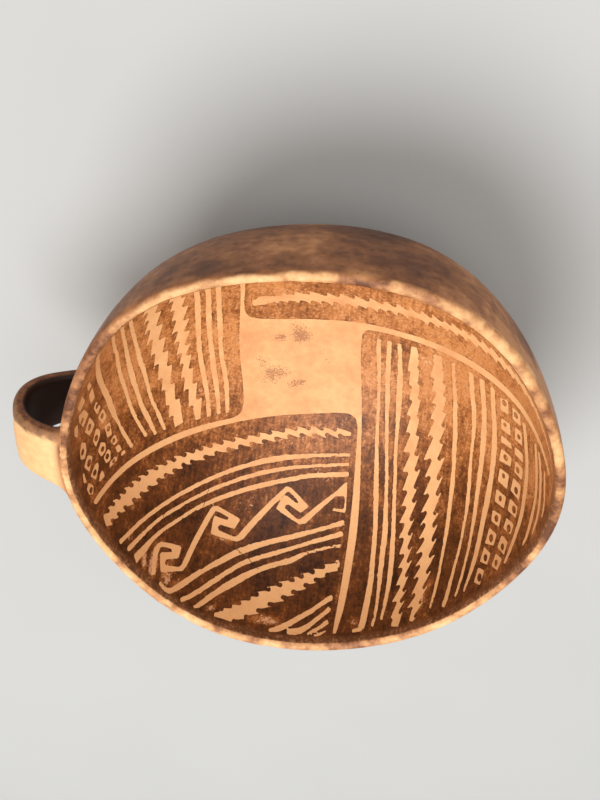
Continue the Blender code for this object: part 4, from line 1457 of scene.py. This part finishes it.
# Painted light: the bare lip reaches further down on the key lamp's side.
lip_reach = over_lip + ragged + patches.swing(7.0) + 4.5 * painted_lit_side + 4.5 * rubbed_side - 1.5 * lip_smoke
outer_colour = clay.blend(lip_reach.step(*BARE_LIP), outside_colour, lip_colour)
rim_gap = (place_y * 0.012 - 0.25).limited()
in_bowl = (over_lip + 0.5 * ragged - 1.3 * rim_gap).step(*PAINT_START)
body_colour = clay.blend(in_bowl, outer_colour, inside_colour)
print("lip and outside:", len(clay.tree.nodes), "nodes so far")

# %% [markdown]
# The strap has cream slip on its outer face and dark stained edges; the edge away from the key lamp is
# darkened more, which is painted shade. Its inner face, turned to the bowl, where no brush or light
# reached, is painted nearly black as shade. Towards its foot it turns to the smoked brown of the body,
# partly painted shade there.

# %% Strap
CREAM_SLIP = ((0.0, 206, 148, 98), (0.5, 228, 176, 120), (1.0, 240, 196, 142))
# Stain on the strap's edges; the same colour is painted shade on its side away from the key lamp.
STAIN_AND_SHADE_EDGE = ((0.35, 56, 28, 16), (0.7, 138, 84, 50))
# Painted shade for the strap's inner face, turned to the bowl.
INNER_FACE_SHADE = tint(40, 20, 12)
CREAM_START = (66, 92)                  # mm above the ground, from smoked brown and painted shade to cream
SHADE_SIDE = (-9, -12.5)              # mm to the side, where the painted shade begins and is full
EDGE_FACING = (0.8, 0.35)               # strap_face is 1 outwards, 0 at an edge and -1 towards the bowl
INNER_FACING = (-0.1, -0.7)
STRAP_START = (0.1, 0.9)                # share of a root over which the body gives way to the strap

strap_share = clay.attribute("strap")
strap_face = clay.attribute("strap_face")
high_up = place_z.step(*CREAM_START)
cream_tone = (0.6 + mottle.swing(1.0) + patches.swing(0.8)).limited()
cream = clay.ramp(cream_tone, CREAM_SLIP)
# Below the cream the strap takes the body's smoked brown, partly painted shade on its lower part.
strap_colour = clay.blend(high_up, outside_colour, cream)
stain_and_shade_clay = clay.ramp((mottle * 0.6 + flecks * 0.5).limited(), STAIN_AND_SHADE_EDGE)
# Painted shade on the strap's side away from the key lamp (-Y).
painted_shade_side = (place_y + mottle.swing(5) + patches.swing(3)).step(*SHADE_SIDE)
strap_colour = clay.blend(painted_shade_side * 0.85, strap_colour, stain_and_shade_clay)
strap_colour = clay.blend((strap_face + mottle.swing(0.4)).step(*EDGE_FACING), strap_colour, stain_and_shade_clay)
# Painted shade: the inner face, turned to the bowl, is nearly black.
strap_colour = clay.blend(strap_face.step(*INNER_FACING), strap_colour, INNER_FACE_SHADE)
body_colour = clay.blend(strap_share.step(*STRAP_START), body_colour, strap_colour)
clay.feed(clay.shader.inputs["Base Color"], body_colour)
print("strap:", len(clay.tree.nodes), "nodes so far")

# %% [markdown]
# The paint has a little more gloss than the bare clay. The relief is small: grain, shallow dents from
# the smoothing stone and a few pits.

# %% Roughness and relief
SPECULAR = 0.3
RELIEF_STRENGTH = 0.8
SMOOTH_OUT, SMOOTH_IN = (-5, -1), (5, 1)    # mm past and inside the lip's top, where its relief fades

gloss = 0.6 - 0.1 * in_bowl * (1 - on_slip) + mottle.swing(0.16) - 0.04 * (1 - in_bowl)
clay.feed(clay.shader.inputs["Roughness"], gloss)
clay.shader.inputs["Specular IOR Level"].default_value = SPECULAR
pits = clay.noise(1.9, detail=1, shift=(9, 9, 1)).step(0.3, 0.2)
away_from_lip = 1 - over_lip.step(*SMOOTH_OUT) * over_lip.step(*SMOOTH_IN)
relief = 0.05 * grain + away_from_lip * (0.3 * clay.noise(13, detail=1) + 0.1 * mottle) - 0.1 * pits
bump = clay.node("Bump", None, {"Strength": RELIEF_STRENGTH, "Distance": MM, "Height": relief})
clay.feed(clay.shader.inputs["Normal"], bump)
bowl.data.materials.clear()
bowl.data.materials.append(clay.material)
print("nodes in the clay's finish:", len(clay.tree.nodes))

# %% [markdown]
# ## Floor and light
# The bowl stands on a plain pale floor. One large soft lamp hangs over the far side and a weaker one
# fills in from the near side, as in a plain studio.

# %% Floor and light
FLOOR_SIZE = 8
FLOOR_ROUGHNESS = 0.9
PALE_GREYS = (tint(180, 180, 178), tint(186, 186, 184))
LAMPS = (                               # name, place and size in metres, power in watts
    ("key_lamp", (0.25, 0.35, 1.7), 1.3, 30),
    ("fill_lamp", (-0.4, -1.0, 1.3), 1.4, 11))
LAMP_AIM = (0, 0, 0.06)
SKY = (1.0, 0.98, 0.95, 1.0)
SKY_STRENGTH = 0.45

bpy.ops.object.select_all(action="DESELECT")
bpy.ops.mesh.primitive_plane_add(size=FLOOR_SIZE)
floor = bpy.context.active_object
floor.name = "floor"
paper = Finish("pale_floor")
paper.feed(paper.shader.inputs["Base Color"], paper.blend(paper.noise(160), *PALE_GREYS))
paper.shader.inputs["Roughness"].default_value = FLOOR_ROUGHNESS
floor.data.materials.append(paper.material)

for name, place, size, power in LAMPS:
    lamp_data = bpy.data.lights.new(name, "AREA")
    lamp_data.shape = "DISK"
    lamp_data.size = size
    lamp_data.energy = power
    lamp = bpy.data.objects.new(name, lamp_data)
    lamp.location = place
    lamp.rotation_euler = (Vector(LAMP_AIM) - Vector(place)).to_track_quat("-Z", "Y").to_euler()
    bpy.context.scene.collection.objects.link(lamp)
world = bpy.data.worlds.new("studio")
world.use_nodes = True
world.node_tree.nodes["Background"].inputs["Color"].default_value = SKY
world.node_tree.nodes["Background"].inputs["Strength"].default_value = SKY_STRENGTH
bpy.context.scene.world = world
bpy.context.scene.view_settings.view_transform = "Standard"
print("lamps:", [name for name, *_ in LAMPS])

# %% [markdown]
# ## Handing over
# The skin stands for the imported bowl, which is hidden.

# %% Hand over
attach(bowl, "root")
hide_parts("handled_bowl")
